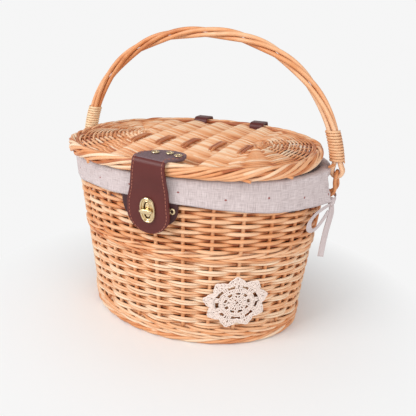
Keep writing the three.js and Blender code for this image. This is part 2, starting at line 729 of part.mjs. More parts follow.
// A closed block with a relief on top, from rows of points that turn left as they are walked
function reliefBlock(rows, bottom) {
  const across = rows[0].length;
  const count = rows.length * across;
  const points = [...rows.flat(), ...rows.flat().map(([x, y]) => [x, y, bottom - 1])];
  const triangles = [];
  for (let r = 0; r + 1 < rows.length; r += 1) {
    for (let k = 0; k + 1 < across; k += 1) {
      const a = r * across + k;
      quad(triangles, a, a + 1, a + across + 1, a + across);
      quad(triangles, count + a + across, count + a + across + 1, count + a + 1, count + a);
    }
  }
  const rim = [];
  for (let k = 0; k + 1 < across; k += 1) rim.push(k);
  for (let r = 0; r + 1 < rows.length; r += 1) rim.push(r * across + across - 1);
  for (let k = across - 1; k > 0; k -= 1) rim.push((rows.length - 1) * across + k);
  for (let r = rows.length - 1; r > 0; r -= 1) rim.push(r * across);
  rim.forEach((a, i) => {
    const b = rim[(i + 1) % rim.length];
    quad(triangles, a, count + a, count + b, b);
  });
  return closedSurface(points, triangles);
}

function makeLid(parent, loops) {
  const border = [];
  const section = borderSection(-LID_BORDER_WIDTH, 0, 0, LID_BORDER_HEIGHT);
  for (let k = 0; k < SEGMENTS; k += 1) {
    const angle = (2 * Math.PI * k) / SEGMENTS;
    border.push(
      section.map(([out, z]) => {
        const [x, y] = ovalPoint(LID_HALF_X + out, LID_HALF_Y + out, lidPower(angle), angle);
        return [x, y, z];
      }),
    );
  }
  add(parent, "lid_border", skinOver(border, true), midWillow);
  const halfX = LID_HALF_X - LID_BORDER_WIDTH - FIT_GAP * 2;
  const halfY = LID_HALF_Y - LID_BORDER_WIDTH - FIT_GAP * 2;
  const bottom = LID_BORDER_HEIGHT - LID_PANEL_THICKNESS - 1.5;
  const tall = LID_PANEL_THICKNESS + LID_CROWN + 1;
  const outline = domedPlate(halfX, halfY, lidPower, bottom, tall, 0);
  const dome = (x, y) => {
    const power = y < 0 ? LID_FRONT_POWER : LID_POWER;
    const share = (Math.abs(x / halfX) ** power + Math.abs(y / halfY) ** power) ** (1 / power);
    return bottom + LID_PANEL_THICKNESS + LID_CROWN * (1 - Math.min(share, 1) ** 2);
  };
  const centre = keepInside(outline, reliefBlock(centreRows(dome, halfY), bottom));
  const fans = [-1, 1].map((side) => keepInside(outline, reliefBlock(fanRows(dome, side), bottom)));
  const slots = loops.map((loop) => {
    const geometry = loop.clone();
    geometry.applyMatrix4(parent.matrixWorld.clone().invert());
    return geometry;
  });
  const reach = LID_HALF_X;
  const room = [-LID_HALF_Y, LID_HALF_Y, -LID_BORDER_HEIGHT, 2 * LID_BORDER_HEIGHT];
  const middle = box(-LID_FAN_START + FIT_GAP / 2, LID_FAN_START - FIT_GAP / 2, ...room);
  const right = box(LID_FAN_START + FIT_GAP / 2, reach, ...room);
  const left = box(-reach, -LID_FAN_START - FIT_GAP / 2, ...room);
  add(parent, "lid_centre_weave", cut(keepInside(centre, middle), ...slots), paleWillow);
  add(parent, "lid_fan_left", keepInside(fans[0], left), paleWillow);
  add(parent, "lid_fan_right", keepInside(fans[1], right), paleWillow);
  const z = bottom - FIT_GAP - LID_STICK_RADIUS;
  const sticks = [];
  const long = halfX - LID_LONG_STICK_INSET;
  const cross = halfY - LID_CROSS_STICK_INSET;
  for (const y of [-LID_LONG_PITCH / 2, LID_LONG_PITCH / 2]) {
    sticks.push(rod([[-long, y, z], [long, y, z]], LID_STICK_RADIUS));
  }
  for (let i = 0; i < LID_CROSS_STICKS; i += 1) {
    const x = (i - (LID_CROSS_STICKS - 1) / 2) * LID_CROSS_PITCH;
    sticks.push(rod([[x, -cross, z], [x, cross, z]], LID_STICK_RADIUS));
  }
  add(parent, "lid_sticks", cut(join(...sticks), ...slots), redWillow);
}

// A flat ring of brass with a hole, its face along +Z
function rivetGeometry() {
  const half = RIVET_THICKNESS / 2;
  const outline = [
    [RIVET_HOLE_RADIUS, -half], [RIVET_RADIUS, -half], [RIVET_RADIUS - 0.6, half],
    [RIVET_HOLE_RADIUS, half], [RIVET_HOLE_RADIUS, -half],
  ];
  return new THREE.LatheGeometry(outline.map((p) => new THREE.Vector2(...p)), 12);
}

// Wall line at the front: the outer face of the weave on the plane X = 0
const frontFace = (z) => -wallHalfY(z);
const wallSlope = Math.atan2(RIM_HALF_Y - FOOT_HALF_Y, RIM_TOP);

// Clasp on the wall: a leather tab bent round the weave, two rivets and the base of the lock
function makeTab() {
  const rows = 7;
  const stations = [];
  for (let i = 0; i <= rows; i += 1) {
    const u = i / rows;
    const z = TAB_TOP - u * (TAB_TOP - TAB_BOTTOM);
    const half = TAB_HALF_WIDTH * Math.sqrt(Math.max(1 - u ** 3, 0.04));
    stations.push({ z, half });
  }
  const across = 8;
  const ring = ({ z, half }) => {
    const line = (out) =>
      Array.from({ length: across + 1 }, (_, k) => {
        const x = half * ((2 * k) / across - 1);
        const [hx, hy] = [wallHalfX(z) + out, wallHalfY(z) + out];
        return [x, -hy * (1 - (Math.abs(x) / hx) ** OVAL_POWER) ** (1 / OVAL_POWER), z];
      });
    return [...line(FIT_GAP + 0.1), ...line(FIT_GAP + 0.1 + LEATHER).reverse()];
  };
  add(basket, "wall_tab", skinOver(stations.map(ring), false), leather);
}

// A frame whose +Z is square to the wall at the front, at the lock's height
function lockFrame() {
  const group = new THREE.Group();
  group.position.set(0, frontFace(LOCK_Z) - FIT_GAP - 0.1 - LEATHER, LOCK_Z);
  group.rotation.x = Math.PI / 2 + wallSlope;
  return group;
}

function ovalPrism(halfX, halfY, bottom, top, segments = 20) {
  const ring = (z) =>
    Array.from({ length: segments }, (_, k) => {
      const angle = (2 * Math.PI * k) / segments;
      return [halfX * Math.cos(angle), halfY * Math.sin(angle), z];
    });
  return skinOver([ring(bottom), ring(top)], false);
}

function makeLock() {
  const frame = lockFrame();
  basket.add(frame);
  const baseTop = FIT_GAP + LOCK_PLATE;
  const base = ovalPrism(LOCK_HALF_WIDTH, LOCK_HALF_HEIGHT, FIT_GAP, baseTop);
  add(frame, "lock_base", base, brass);
  const strapInside = baseTop + FIT_GAP;
  const strapOutside = strapInside + LEATHER;
  const plateTop = strapOutside + FIT_GAP + LOCK_PLATE;
  const stemTop = plateTop + FIT_GAP;
  const stem = ovalPrism(KNOB_STEM_RADIUS, KNOB_STEM_RADIUS, baseTop + FIT_GAP, stemTop + 1, 12);
  const knob = ovalPrism(KNOB_HALF_LENGTH, KNOB_HALF_WIDTH, stemTop, stemTop + KNOB_THICKNESS, 16);
  add(frame, "turn_knob", join(stem, knob), brass);
  const plate = ovalPrism(LOCK_HALF_WIDTH, LOCK_HALF_HEIGHT, strapOutside + FIT_GAP, plateTop);
  const slot = ovalPrism(LOCK_SLOT_HALF_WIDTH, LOCK_SLOT_HALF_HEIGHT, -5, plateTop + 5);
  add(frame, "clasp_plate", cut(plate, slot), brass);
  frame.updateMatrixWorld(true);
  slot.applyMatrix4(frame.matrixWorld);
  const at = (height, along) => new THREE.Vector3(0, along, height).applyMatrix4(frame.matrixWorld);
  return { slot, at, strapMiddle: (strapInside + strapOutside) / 2 };
}

function smoothStep(a, b, share) {
  const s = Math.min(Math.max(share, 0), 1);
  return a + (b - a) * s * s * (3 - 2 * s);
}

// The hanging strap: from the fold at the lid's edge down over the lock to a round end
function makeStrap(lock) {
  const foldY = LID_MIDDLE_Y - LID_HALF_Y - LEATHER / 2 - 1.3;
  const lockMiddle = lock.at(lock.strapMiddle, 0);
  const path = [];
  const widths = [];
  const rows = 16;
  const start = STRAP_FOLD_Z - LEATHER / 2 - STRAP_FOLD_GAP;
  const lidEdge = LID_BOTTOM + LID_BORDER_HEIGHT / 2 - LID_HALF_Y * Math.sin(LID_TILT_DEGREES * DEGREE);
  for (let i = 0; i <= rows; i += 1) {
    const share = i / rows;
    const z = start + (STRAP_END_Z - start) * (1 - (1 - share) ** 1.25);
    const along = (lidEdge - z) / (lidEdge - (LOCK_Z + LOCK_HALF_HEIGHT));
    const flat = lockMiddle.y - (z - LOCK_Z) * Math.tan(wallSlope);
    path.push([along < 1 ? smoothStep(foldY, flat, along) : flat, z]);
    const body = smoothStep(STRAP_TOP_WIDTH, STRAP_END_WIDTH, (start - z) / (start - LOCK_Z));
    const fromEnd = (z - STRAP_END_Z) / (STRAP_END_WIDTH * 0.42);
    const round = fromEnd < 1 ? Math.sqrt(Math.max(1 - (1 - fromEnd) ** 2, 0.02)) : 1;
    widths.push(body * round);
  }
  add(basket, "clasp_strap", cut(strapInYZ(path, widths, LEATHER), lock.slot), leather);
  const lidTop = (y) => {
    const rise = (y - LID_MIDDLE_Y) * Math.tan(LID_TILT_DEGREES * DEGREE);
    return LID_BOTTOM + LID_BORDER_HEIGHT + rise + FIT_GAP + LEATHER / 2;
  };
  const flap = [];
  const flapWidths = [];
  const steps = 9;
  for (let i = 0; i <= steps; i += 1) {
    const share = i / steps;
    const y = foldY + STRAP_FOLD_GAP + LID_FLAP_LENGTH * share;
    const x = smoothStep(0, LID_FLAP_SHIFT, share / 0.65);
    flap.push([y, lidTop(y) + 0.6 + (LID_CROWN / 2) * smoothStep(0, 1, share * 1.6), x]);
    const shoulder = smoothStep(STRAP_TOP_WIDTH, LID_FLAP_WIDTH, share / 0.3);
    const round = share > 0.45 ? Math.sqrt(Math.max(1 - ((share - 0.45) / 0.55) ** 2.2, 0.15)) : 1;
    flapWidths.push(shoulder * round);
  }
  add(basket, "lid_flap", strapInYZ(flap, flapWidths, LEATHER), leather);
  const onFlap = (share) => {
    const row = share * steps;
    const i = Math.floor(row);
    return flap[i].map((v, k) => v + (row - i) * (flap[i + 1][k] - v));
  };
  for (const [name, side, share] of [["left", -1, 0.52], ["middle", 0, 0.61], ["right", 1, 0.47]]) {
    const [y, z, middle] = onFlap(share);
    const x = middle + LID_RIVET_SHIFT + side * LID_RIVET_SPACING;
    const rivet = add(basket, `lid_rivet_${name}`, rivetGeometry(), brass);
    rivet.rotation.x = Math.PI / 2 + (LID_TILT_DEGREES + 1.5) * DEGREE;
    rivet.position.set(x, y, z + LEATHER / 2 + RIVET_THICKNESS / 2 + FIT_GAP);
  }
}

function makeTabRivets() {
  for (const [name, side] of [["left", -1], ["right", 1]]) {
    const out = FIT_GAP + 0.1 + LEATHER + FIT_GAP + RIVET_THICKNESS / 2 + 0.25;
    const x = side * TAB_RIVET_X;
    const [hx, hy] = [wallHalfX(LOCK_Z) + out, wallHalfY(LOCK_Z) + out];
    const y = -hy * (1 - (Math.abs(x) / hx) ** OVAL_POWER) ** (1 / OVAL_POWER);
    const turn = Math.atan2(x / hx ** 2, -y / hy ** 2);
    const pose = new THREE.Group();
    pose.position.set(x, y, LOCK_Z);
    pose.rotation.z = turn;
    basket.add(pose);
    const rivet = add(pose, `tab_rivet_${name}`, rivetGeometry(), brass);
    rivet.rotation.x = wallSlope;
  }
}

// Doily: a thin star that lies on the weave
function makeDoily() {
  const middleAngle = DOILY_ANGLE_DEGREES * DEGREE;
  const segments = 4 * DOILY_POINTS;
  const rings = [1, 0.55, 0.05];
  const scale = (angle) => 0.93 + 0.07 * Math.cos(DOILY_POINTS * angle);
  const place = (share, k, out) => {
    const angle = (2 * Math.PI * k) / segments;
    const reach = DOILY_RADIUS * scale(angle) * share;
    const z = DOILY_Z + reach * Math.sin(angle);
    const speed = Math.hypot(
      wallHalfX(z) * Math.sin(middleAngle),
      wallHalfY(z) * Math.cos(middleAngle),
    );
    return wallPoint(middleAngle + (reach * Math.cos(angle)) / speed, z, out);
  };
  const ring = (share, out) => Array.from({ length: segments }, (_, k) => place(share, k, out));
  const inner = rings.map((share) => ring(share, 2 * FIT_GAP)).reverse();
  const outer = rings.map((share) => ring(share, 2 * FIT_GAP + DOILY_THICKNESS));
  add(basket, "doily", skinOver([...inner, ...outer], false), lace);
}

// Tie: a knot at the slit of the liner by the right ear, one loop and one tail of ribbon, as
// points from the right end of the rim's top
const fromRimEnd = ([x, y, z]) => [RIM_HALF_X + x, y, RIM_TOP + z];
const KNOT = [8, -3, -38];
const TIE_LOOP = [
  [7.7, -8.6, -39.5], [7.1, -17, -45], [5.5, -26, -52.5], [3.1, -33, -60], [1.4, -37, -67.5],
  [1.1, -36.5, -72.5], [2.5, -31.5, -74], [4.9, -26.5, -69], [6.9, -21, -61], [8.3, -15.6, -52],
  [8.7, -10.4, -44.8],
];
const TIE_TAIL = [
  [8.5, -2.4, -42.9], [8.9, -2.4, -52], [7.7, -4.2, -61], [6.3, -6.5, -71], [5.4, -9.4, -81],
  [4.9, -12.6, -90], [4.6, -15.4, -98.5],
];
const TIE_FRONT_ARM = [[-2.2, -13.5, -33.9], [2.3, -10, -35], [7.7, -4, -37.4]];
const TIE_BACK_ARM = [
  [-6.9, 31.5, -33.9], [-0.5, 29, -34.5], [6.1, 23.5, -35.2], [9.9, 15, -36], [10.3, 6, -36.8],
  [8.7, -1, -37.6],
];
function ribbon(points, width = RIBBON_WIDTH) {
  const path = points.map((p) => new THREE.Vector3(...fromRimEnd(p)));
  return strip(
    path.map((p, i) => {
      const along = path[Math.min(i + 1, path.length - 1)].clone().sub(path[Math.max(i - 1, 0)]);
      const outward = new THREE.Vector3(1, -0.25, 0);
      const across = outward.clone().cross(along).normalize();
      const face = along.clone().cross(across).normalize();
      return { middle: p.toArray(), across: across.toArray(), width, face: face.toArray() };
    }),
    RIBBON_THICKNESS,
  );
}

function makeTie() {
  const knot = new THREE.SphereGeometry(1, 10, 7);
  knot.scale(3.2, 5, 4.6);
  knot.translate(...fromRimEnd(KNOT));
  const arms = [TIE_FRONT_ARM, TIE_BACK_ARM].map((arm) => ribbon(arm, TIE_ARM_WIDTH));
  add(basket, "tie_knot", join(knot, ...arms), linen);
  add(basket, "tie_loop", ribbon(TIE_LOOP), linen);
  add(basket, "tie_tail", ribbon(TIE_TAIL), linen);
}

// Handlebar straps: leather through the back of the weave, round the bar, closed by a buckle
const backFaceAt = (x, z) =>
  wallHalfY(z) * (1 - (Math.abs(x) / wallHalfX(z)) ** OVAL_POWER) ** (1 / OVAL_POWER);
function barStrapPath(x) {
  const half = BAR_STRAP_LEATHER / 2;
  const inside = stakeOut - STAKE_RADIUS - 2 * FIT_GAP - half;
  const bottomY = backFaceAt(x, BAR_STRAP_BOTTOM);
  const topY = backFaceAt(x, BAR_STRAP_TOP);
  const near = wallHalfY(BAR_STRAP_TOP) + WALE_PROUD + 1;
  const far = near + BAR_DIAMETER + 2 * FIT_GAP + half;
  const middle = (BAR_STRAP_TOP + BAR_STRAP_BOTTOM) / 2;
  const layer = BAR_STRAP_LEATHER + FIT_GAP;
  const bend = 7;
  return {
    far,
    middle,
    layer,
    path: [
      [far, middle + 4], [far, BAR_STRAP_BOTTOM + bend], [far - 2, BAR_STRAP_BOTTOM + 2],
      [far - bend, BAR_STRAP_BOTTOM], [bottomY, BAR_STRAP_BOTTOM],
      [bottomY + inside + 2, BAR_STRAP_BOTTOM], [bottomY + inside, BAR_STRAP_BOTTOM + 2],
      [topY + inside, BAR_STRAP_TOP - 2], [topY + inside + 2, BAR_STRAP_TOP],
      [topY, BAR_STRAP_TOP], [far - bend + layer, BAR_STRAP_TOP],
      [far - 2 + layer, BAR_STRAP_TOP - 2], [far + layer, BAR_STRAP_TOP - bend],
      [far + layer, BAR_STRAP_BOTTOM - 4],
    ],
  };
}

// The strap follows the wall's curve inside the basket and lies square to the bar outside
function barStrap(x, grow) {
  const { path } = barStrapPath(x);
  const z = (BAR_STRAP_TOP + BAR_STRAP_BOTTOM) / 2;
  const slope = -((wallHalfY(z) / wallHalfX(z)) ** 2) * (x / backFaceAt(x, z));
  const stations = path.map(([y, z], i) => {
    const before = path[Math.max(i - 1, 0)];
    const after = path[Math.min(i + 1, path.length - 1)];
    const along = new THREE.Vector3(0, after[0] - before[0], after[1] - before[1]);
    const turned = y < backFaceAt(x, z) - 1 ? Math.atan(slope) : 0;
    const across = new THREE.Vector3(Math.cos(turned), Math.sin(turned), 0);
    const face = across.clone().cross(along).normalize().toArray();
    const width = BAR_STRAP_WIDTH + 2 * grow;
    return { middle: [x, y, z], across: across.toArray(), width, face };
  });
  return strip(stations, BAR_STRAP_LEATHER + 2 * grow);
}

function makeBarStraps() {
  for (const [name, side] of [["left", -1], ["right", 1]]) {
    const x = side * BAR_STRAP_X;
    add(basket, `bar_strap_${name}`, barStrap(x, 0), leather);
    const { far, middle, layer } = barStrapPath(x);
    const y = far + layer + BAR_STRAP_LEATHER / 2 + FIT_GAP + BUCKLE_WIRE_RADIUS;
    const reach = BAR_STRAP_WIDTH / 2 + BUCKLE_MARGIN;
    const top = middle + BUCKLE_HEIGHT / 2;
    const bottom = middle - BUCKLE_HEIGHT / 2;
    const corner = 2.5;
    const frame = [];
    const corners = [[reach, top, 0], [-reach, top, 1], [-reach, bottom, 2], [reach, bottom, 3]];
    for (const [cx, cz, quarter] of corners) {
      for (let i = 0; i <= 2; i += 1) {
        const angle = (quarter * Math.PI) / 2 + (i * Math.PI) / 4;
        const ox = cx - Math.sign(cx) * corner;
        const oz = cz - Math.sign(cz - middle) * corner;
        frame.push([x + ox + corner * Math.cos(angle), y, oz + corner * Math.sin(angle)]);
      }
    }
    add(basket, `buckle_${name}`, rod(frame, BUCKLE_WIRE_RADIUS, 6, true), brass);
    const start = top - BUCKLE_WIRE_RADIUS - FIT_GAP;
    const end = bottom + BUCKLE_WIRE_RADIUS + FIT_GAP;
    const prong = rod([[x, y, start], [x, y, (start + end) / 2], [x, y, end]], PRONG_RADIUS);
    add(basket, `prong_${name}`, prong, brass);
  }
}

// Body of the basket
makeFloor();
const foot = borderSection(-FOOT_DEPTH, FOOT_PROUD - 1, 0, FOOT_HEIGHT);
add(basket, "foot_border", bandRound(foot), midWillow);
const footWale = boxBand(-WEAVE_THICKNESS, WALE_PROUD, footWaleBottom, footWaleTop);
add(basket, "foot_wale", bandRound(footWale), redWillow);
const loopTools = [-1, 1].map((side) => hingeLoop(side * LOOP_X, FIT_GAP));
makeStakes();
const barSlots = [-1, 1].map((side) => barStrap(side * BAR_STRAP_X, FIT_GAP));
const lowerWeave = boxBand(
  -WEAVE_THICKNESS, 0, footWaleTop + FIT_GAP, MIDDLE_WALE_BOTTOM - FIT_GAP,
);
add(basket, "lower_weave", cut(bandRound(lowerWeave), ...barSlots), paleWillow);
const middleWale = boxBand(-WEAVE_THICKNESS, WALE_PROUD, MIDDLE_WALE_BOTTOM, middleWaleTop);
add(basket, "middle_wale", bandRound(middleWale), redWillow);
const ears = [-1, 1].map((side) => earPath(side));
const earGrooves = [-1, 1].map((side) => rod(earPath(side, 1), EAR_ROD_RADIUS + FIT_GAP));
const upperWeave = boxBand(-WEAVE_THICKNESS, 0, middleWaleTop + FIT_GAP, rimBottom - FIT_GAP);
add(basket, "upper_weave", cut(bandRound(upperWeave), ...earGrooves, ...barSlots, ...loopTools), paleWillow);
const rim = borderSection(-RIM_DEPTH, 0, rimBottom, RIM_TOP);
add(basket, "rim_border", bandRound(rim), midWillow);
add(basket, "liner", cut(makeLiner(), ...loopTools), linen);
add(basket, "ear_left", rod(ears[0], EAR_ROD_RADIUS), midWillow);
add(basket, "ear_right", rod(ears[1], EAR_ROD_RADIUS), midWillow);
makeTab();
makeTabRivets();
makeDoily();
makeTie();
makeBarStraps();

// Lid
const lid = new THREE.Group();
lid.position.set(0, LID_MIDDLE_Y, LID_BOTTOM);
lid.rotation.x = LID_TILT_DEGREES * DEGREE;
basket.add(lid);
lid.updateMatrixWorld(true);
makeLid(lid, loopTools);
for (const [name, side] of [["left", -1], ["right", 1]]) {
  add(basket, `hinge_loop_${name}`, hingeLoop(side * LOOP_X, 0), leather);
}

// Clasp and handle
makeStrap(makeLock());
makeHandle();

export default basket;
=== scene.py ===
# %% [markdown]
# # A willow bicycle basket
# An oval front basket, woven of peeled willow. It has a cloth liner that folds over the rim, a
# hinged woven lid, a leather clasp with a turn lock, a swing handle of twisted rods and two
# leather straps for the handlebar. The lesson shows how weaving can be built from the path of
# each rod, because the shadows between the rods are what the eye reads as wicker.

# %% Tools, the measured model and units
import math

import bpy
import numpy as np
from mathutils import Matrix, Vector


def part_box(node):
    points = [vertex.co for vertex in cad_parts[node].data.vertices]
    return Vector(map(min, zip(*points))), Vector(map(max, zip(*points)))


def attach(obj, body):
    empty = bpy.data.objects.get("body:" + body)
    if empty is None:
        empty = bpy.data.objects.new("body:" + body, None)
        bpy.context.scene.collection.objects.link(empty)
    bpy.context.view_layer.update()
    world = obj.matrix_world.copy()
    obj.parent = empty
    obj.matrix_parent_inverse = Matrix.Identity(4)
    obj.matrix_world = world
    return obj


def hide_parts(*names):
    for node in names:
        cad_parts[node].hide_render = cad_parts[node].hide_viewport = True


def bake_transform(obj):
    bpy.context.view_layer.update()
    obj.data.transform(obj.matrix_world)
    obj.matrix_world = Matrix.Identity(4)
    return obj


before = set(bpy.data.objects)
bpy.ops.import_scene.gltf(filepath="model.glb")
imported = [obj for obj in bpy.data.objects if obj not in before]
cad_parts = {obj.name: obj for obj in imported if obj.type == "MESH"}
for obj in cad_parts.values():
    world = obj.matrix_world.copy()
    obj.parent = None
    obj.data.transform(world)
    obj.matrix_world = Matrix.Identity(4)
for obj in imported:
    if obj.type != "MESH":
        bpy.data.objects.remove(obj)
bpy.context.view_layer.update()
MM = 0.001
SIDES = (("left", -1), ("right", 1))
rng = np.random.default_rng(11)


def add_to_scene(obj):
    bpy.context.scene.collection.objects.link(obj)
    return obj


def shade_smooth(mesh):
    mesh.polygons.foreach_set("use_smooth", np.ones(len(mesh.polygons), bool))


def activate(obj):
    bpy.ops.object.select_all(action="DESELECT")
    bpy.context.view_layer.objects.active = obj
    obj.select_set(True)


def apply_modifier(obj, kind, **values):
    activate(obj)
    modifier = obj.modifiers.new(kind.lower(), kind)
    for key, value in values.items():
        setattr(modifier, key, value)
    bpy.ops.object.modifier_apply(modifier=modifier.name)


def lengths_along(path):
    """How far each point of a path is from its start, measured along the path."""
    steps = np.linalg.norm(np.diff(path, axis=0), axis=1)
    return np.concatenate([[0], np.cumsum(steps)])


def eased(share):
    """From 0 to 1 with a soft start and a soft end."""
    return share * share * (3 - 2 * share)


# %% [markdown]
# ## Camera
# The photograph looks at the basket from the front, about 22 degrees from the right and
# 19 degrees from above, with a slight roll. A camera is a matrix: its columns are the picture's
# right, its up, and the way back to the camera. Three angles would do too, but then the order of
# the turns matters, and the matrix says plainly which way is which.

# %% Camera
AZIMUTH = math.radians(21.61)
ELEVATION = math.radians(19.42)
ROLL = math.radians(2.3)
CAMERA_RIGHT = 19.47
CAMERA_UP = 125.49
CAMERA_BACK = 675.76
FOCAL_PIXELS = 476.3
PICTURE_PIXELS = 416
SENSOR = 36
back = Vector((
    math.sin(AZIMUTH) * math.cos(ELEVATION),
    -math.cos(AZIMUTH) * math.cos(ELEVATION),
    math.sin(ELEVATION),
))
level = Vector((math.cos(AZIMUTH), math.sin(AZIMUTH), 0))
upright = back.cross(level)
right = level * math.cos(ROLL) + upright * math.sin(ROLL)
top = -level * math.sin(ROLL) + upright * math.cos(ROLL)
place = (right * CAMERA_RIGHT + top * CAMERA_UP + back * CAMERA_BACK) * MM
camera_data = bpy.data.cameras.new("camera")
camera_data.lens = SENSOR * FOCAL_PIXELS / PICTURE_PIXELS
camera_data.sensor_width = SENSOR
camera_data.clip_start = 0.02
camera = add_to_scene(bpy.data.objects.new("camera", camera_data))
turned = Matrix((right, top, back)).transposed().to_4x4()
turned.translation = place
camera.matrix_world = turned
bpy.context.scene.camera = camera
print("camera at", [round(v, 3) for v in camera.matrix_world.translation])

# %% [markdown]
# ## The shape of the basket
# The basket is an oval that widens upwards. Every rod of the wall is told by three numbers: where
# it is around the oval, how high, and how far out from the wall's face. Around the oval we count
# in stakes, the upright rods, because the weaving goes over one and under the next.

# %% Ovals and the wall
FOOT_HALF = (142.5, 107.5)
RIM_HALF = (163.5, 127.5)
RIM_TOP = 209.0
OVAL_POWER = 1.95
HALF_HEIGHT = 113.0
STAKES = 26
EAR_Y = 10.0  # the ears and the handle stand a little behind the middle


def oval(half_x, half_y, power, angle):
    c, s = np.cos(angle), np.sin(angle)
    x = half_x * np.sign(c) * np.abs(c) ** (2 / power)
    y = half_y * np.sign(s) * np.abs(s) ** (2 / power)
    return x, y


def oval_reach(at, half_along, half_across, power):
    """How far an oval reaches to the side at a place along it."""
    return half_across * (1 - np.abs(np.asarray(at, float) / half_along) ** power) ** (1 / power)


def wall_half(z):
    z = np.asarray(z, float)
    return [FOOT_HALF[i] + (RIM_HALF[i] - FOOT_HALF[i]) * z / RIM_TOP for i in (0, 1)]


def wall(angle, z, out):
    """A place in the wall: around the oval, at a height, out from the wall's face."""
    hx, hy = wall_half(z)
    x, y = oval(hx + out, hy + out, OVAL_POWER, np.asarray(angle, float))
    return np.stack(np.broadcast_arrays(x, y, np.asarray(z, float)), axis=-1)


fine = -math.pi / 2 + np.linspace(0, 2 * math.pi, 2881)
travelled = lengths_along(wall(fine, HALF_HEIGHT, 0))
GIRTH = travelled[-1]


def stake_angle(count):
    """The oval's angle at a number of stakes from the middle of the front."""
    turns = np.floor(np.asarray(count, float) / STAKES)
    share = np.asarray(count, float) / STAKES - turns
    return np.interp(share * GIRTH, travelled, fine) + turns * 2 * math.pi


print("girth at half height:", round(GIRTH), "mm, a stake every", round(GIRTH / STAKES, 1), "mm")

# %% [markdown]
# ## A rod
# A willow rod is a long thin tube that follows a path. One helper makes a whole band of rods as
# one mesh. It also keeps two things that the finish reads later: a map along and around each rod,
# for the grain, and a tone for each rod, because no two rods dry to the same colour. In the wall
# and the lid the tone also carries painted shade and painted highlights. A curve with a round
# bevel gives the same tube, but arrays of points make hundreds of rods in one go.

# %% Rods to mesh
def unit(v):
    return v / np.maximum(np.linalg.norm(v, axis=-1, keepdims=True), 1e-12)


def frames_along(p, closed, up):
    """The way along a rod and one way square to it, at each point of its path."""
    t = np.roll(p, -1, 0) - np.roll(p, 1, 0) if closed else np.gradient(p, axis=0)
    t = unit(t)
    if up is not None:
        n = np.broadcast_to(np.asarray(up, float), p.shape)
        return t, unit(n - (n * t).sum(1, keepdims=True) * t)
    n = np.zeros_like(p)
    start = np.array([0.0, 1.0, 0.0]) if abs(t[0][1]) < 0.9 else np.array([1.0, 0.0, 0.0])
    for i in range(len(p)):
        start = start - start.dot(t[i]) * t[i]
        start = start / np.linalg.norm(start)
        n[i] = start
    return t, n


def rod(points, radius, tone=0.5, closed=False, up=None, sides=6, flat=1.0):
    """One rod: its path in millimetres, its radius and its tone, which may both vary along it."""
    path = np.asarray(points, float)
    return dict(path=path, radius=radius, tone=tone, closed=closed, up=up, sides=sides, flat=flat)


def hoop(points, radius, tone, sides=6):
    """A rod that lies level and closes on itself."""
    return rod(points, radius, tone, True, (0, 0, 1), sides)


def tube_arrays(item):
    """Rings of points round a rod's path, with their faces, their map and their tones."""
    p, sides, closed = item["path"], item["sides"], item["closed"]
    count = len(p)
    t, n = frames_along(p, closed, item["up"])
    b = np.cross(t, n)
    r = np.broadcast_to(np.asarray(item["radius"], float), (count,))
    tone = np.broadcast_to(np.asarray(item["tone"], float), (count,))
    a = 2 * math.pi * np.arange(sides) / sides
    ring = p[:, None] + r[:, None, None] * (
        n[:, None] * np.cos(a)[None, :, None] + b[:, None] * item["flat"] * np.sin(a)[None, :, None]
    )
    last = count if closed else count - 1
    i, s = np.meshgrid(np.arange(last), np.arange(sides), indexing="ij")
    j, u = (i + 1) % count, (s + 1) % sides
    quads = np.stack([i * sides + s, i * sides + u, j * sides + u, j * sides + s], -1).reshape(-1, 4)
    gaps = np.linalg.norm(np.diff(p, axis=0, append=p[:1]), axis=1)
    along = np.concatenate([[0], np.cumsum(gaps)]) * MM
    around = 2 * math.pi * float(r.mean()) * MM / sides
    ui, vs = along[i].ravel(), (s * around).ravel()
    uj, vu = along[i + 1].ravel(), ((s + 1) * around).ravel()
    uv = np.stack([ui, vs, ui, vu, uj, vu, uj, vs], -1).reshape(-1, 4, 2)
    return ring.reshape(-1, 3), quads, uv, np.repeat(tone, sides)


def rods_mesh(name, rods):
    """A band of rods as one mesh, with the map and the tones that the finish reads."""
    points, quads, uvs, tones, caps = [], [], [], [], []
    offset = 0
    for item in rods:
        ring, quad, uv, tone = tube_arrays(item)
        points.append(ring)
        quads.append(quad + offset)
        uvs.append(uv)
        tones.append(tone)
        if not item["closed"]:
            sides = item["sides"]
            end = offset + len(ring) - sides
            caps.append(list(range(offset + sides - 1, offset - 1, -1)))
            caps.append(list(range(end, end + sides)))
        offset += len(ring)
    mesh = bpy.data.meshes.new(name)
    all_quads = np.concatenate(quads)
    mesh.from_pydata((np.concatenate(points) * MM).tolist(), [], all_quads.tolist() + caps)
    layer = mesh.uv_layers.new(name="rod")
    flat_uv = np.concatenate(uvs).reshape(-1, 2)
    extra = sum(len(c) for c in caps)
    flat_uv = np.concatenate([flat_uv, np.zeros((extra, 2))]) if extra else flat_uv
    layer.data.foreach_set("uv", flat_uv.astype(np.float32).ravel())
    tone = mesh.attributes.new("tone", "FLOAT", "POINT")
    tone.data.foreach_set("value", np.concatenate(tones).astype(np.float32))
    smooth = np.ones(len(mesh.polygons), bool)
    smooth[len(all_quads):] = False
    mesh.polygons.foreach_set("use_smooth", smooth)
    mesh.update()
    return mesh


def finish_piece(obj, body, material, replaces):
    """Give a piece its finish, its body and the measured nodes it stands for."""
    if obj.name not in bpy.context.scene.collection.all_objects:
        add_to_scene(obj)
    if not obj.data.materials:
        obj.data.materials.append(material)
    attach(obj, body)
    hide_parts(*replaces)
    print(obj.name, len(obj.data.polygons), "faces")


def woven(name, rods, body, material, replaces):
    obj = bpy.data.objects.new(name, rods_mesh(name, rods))
    finish_piece(obj, body, material, replaces)


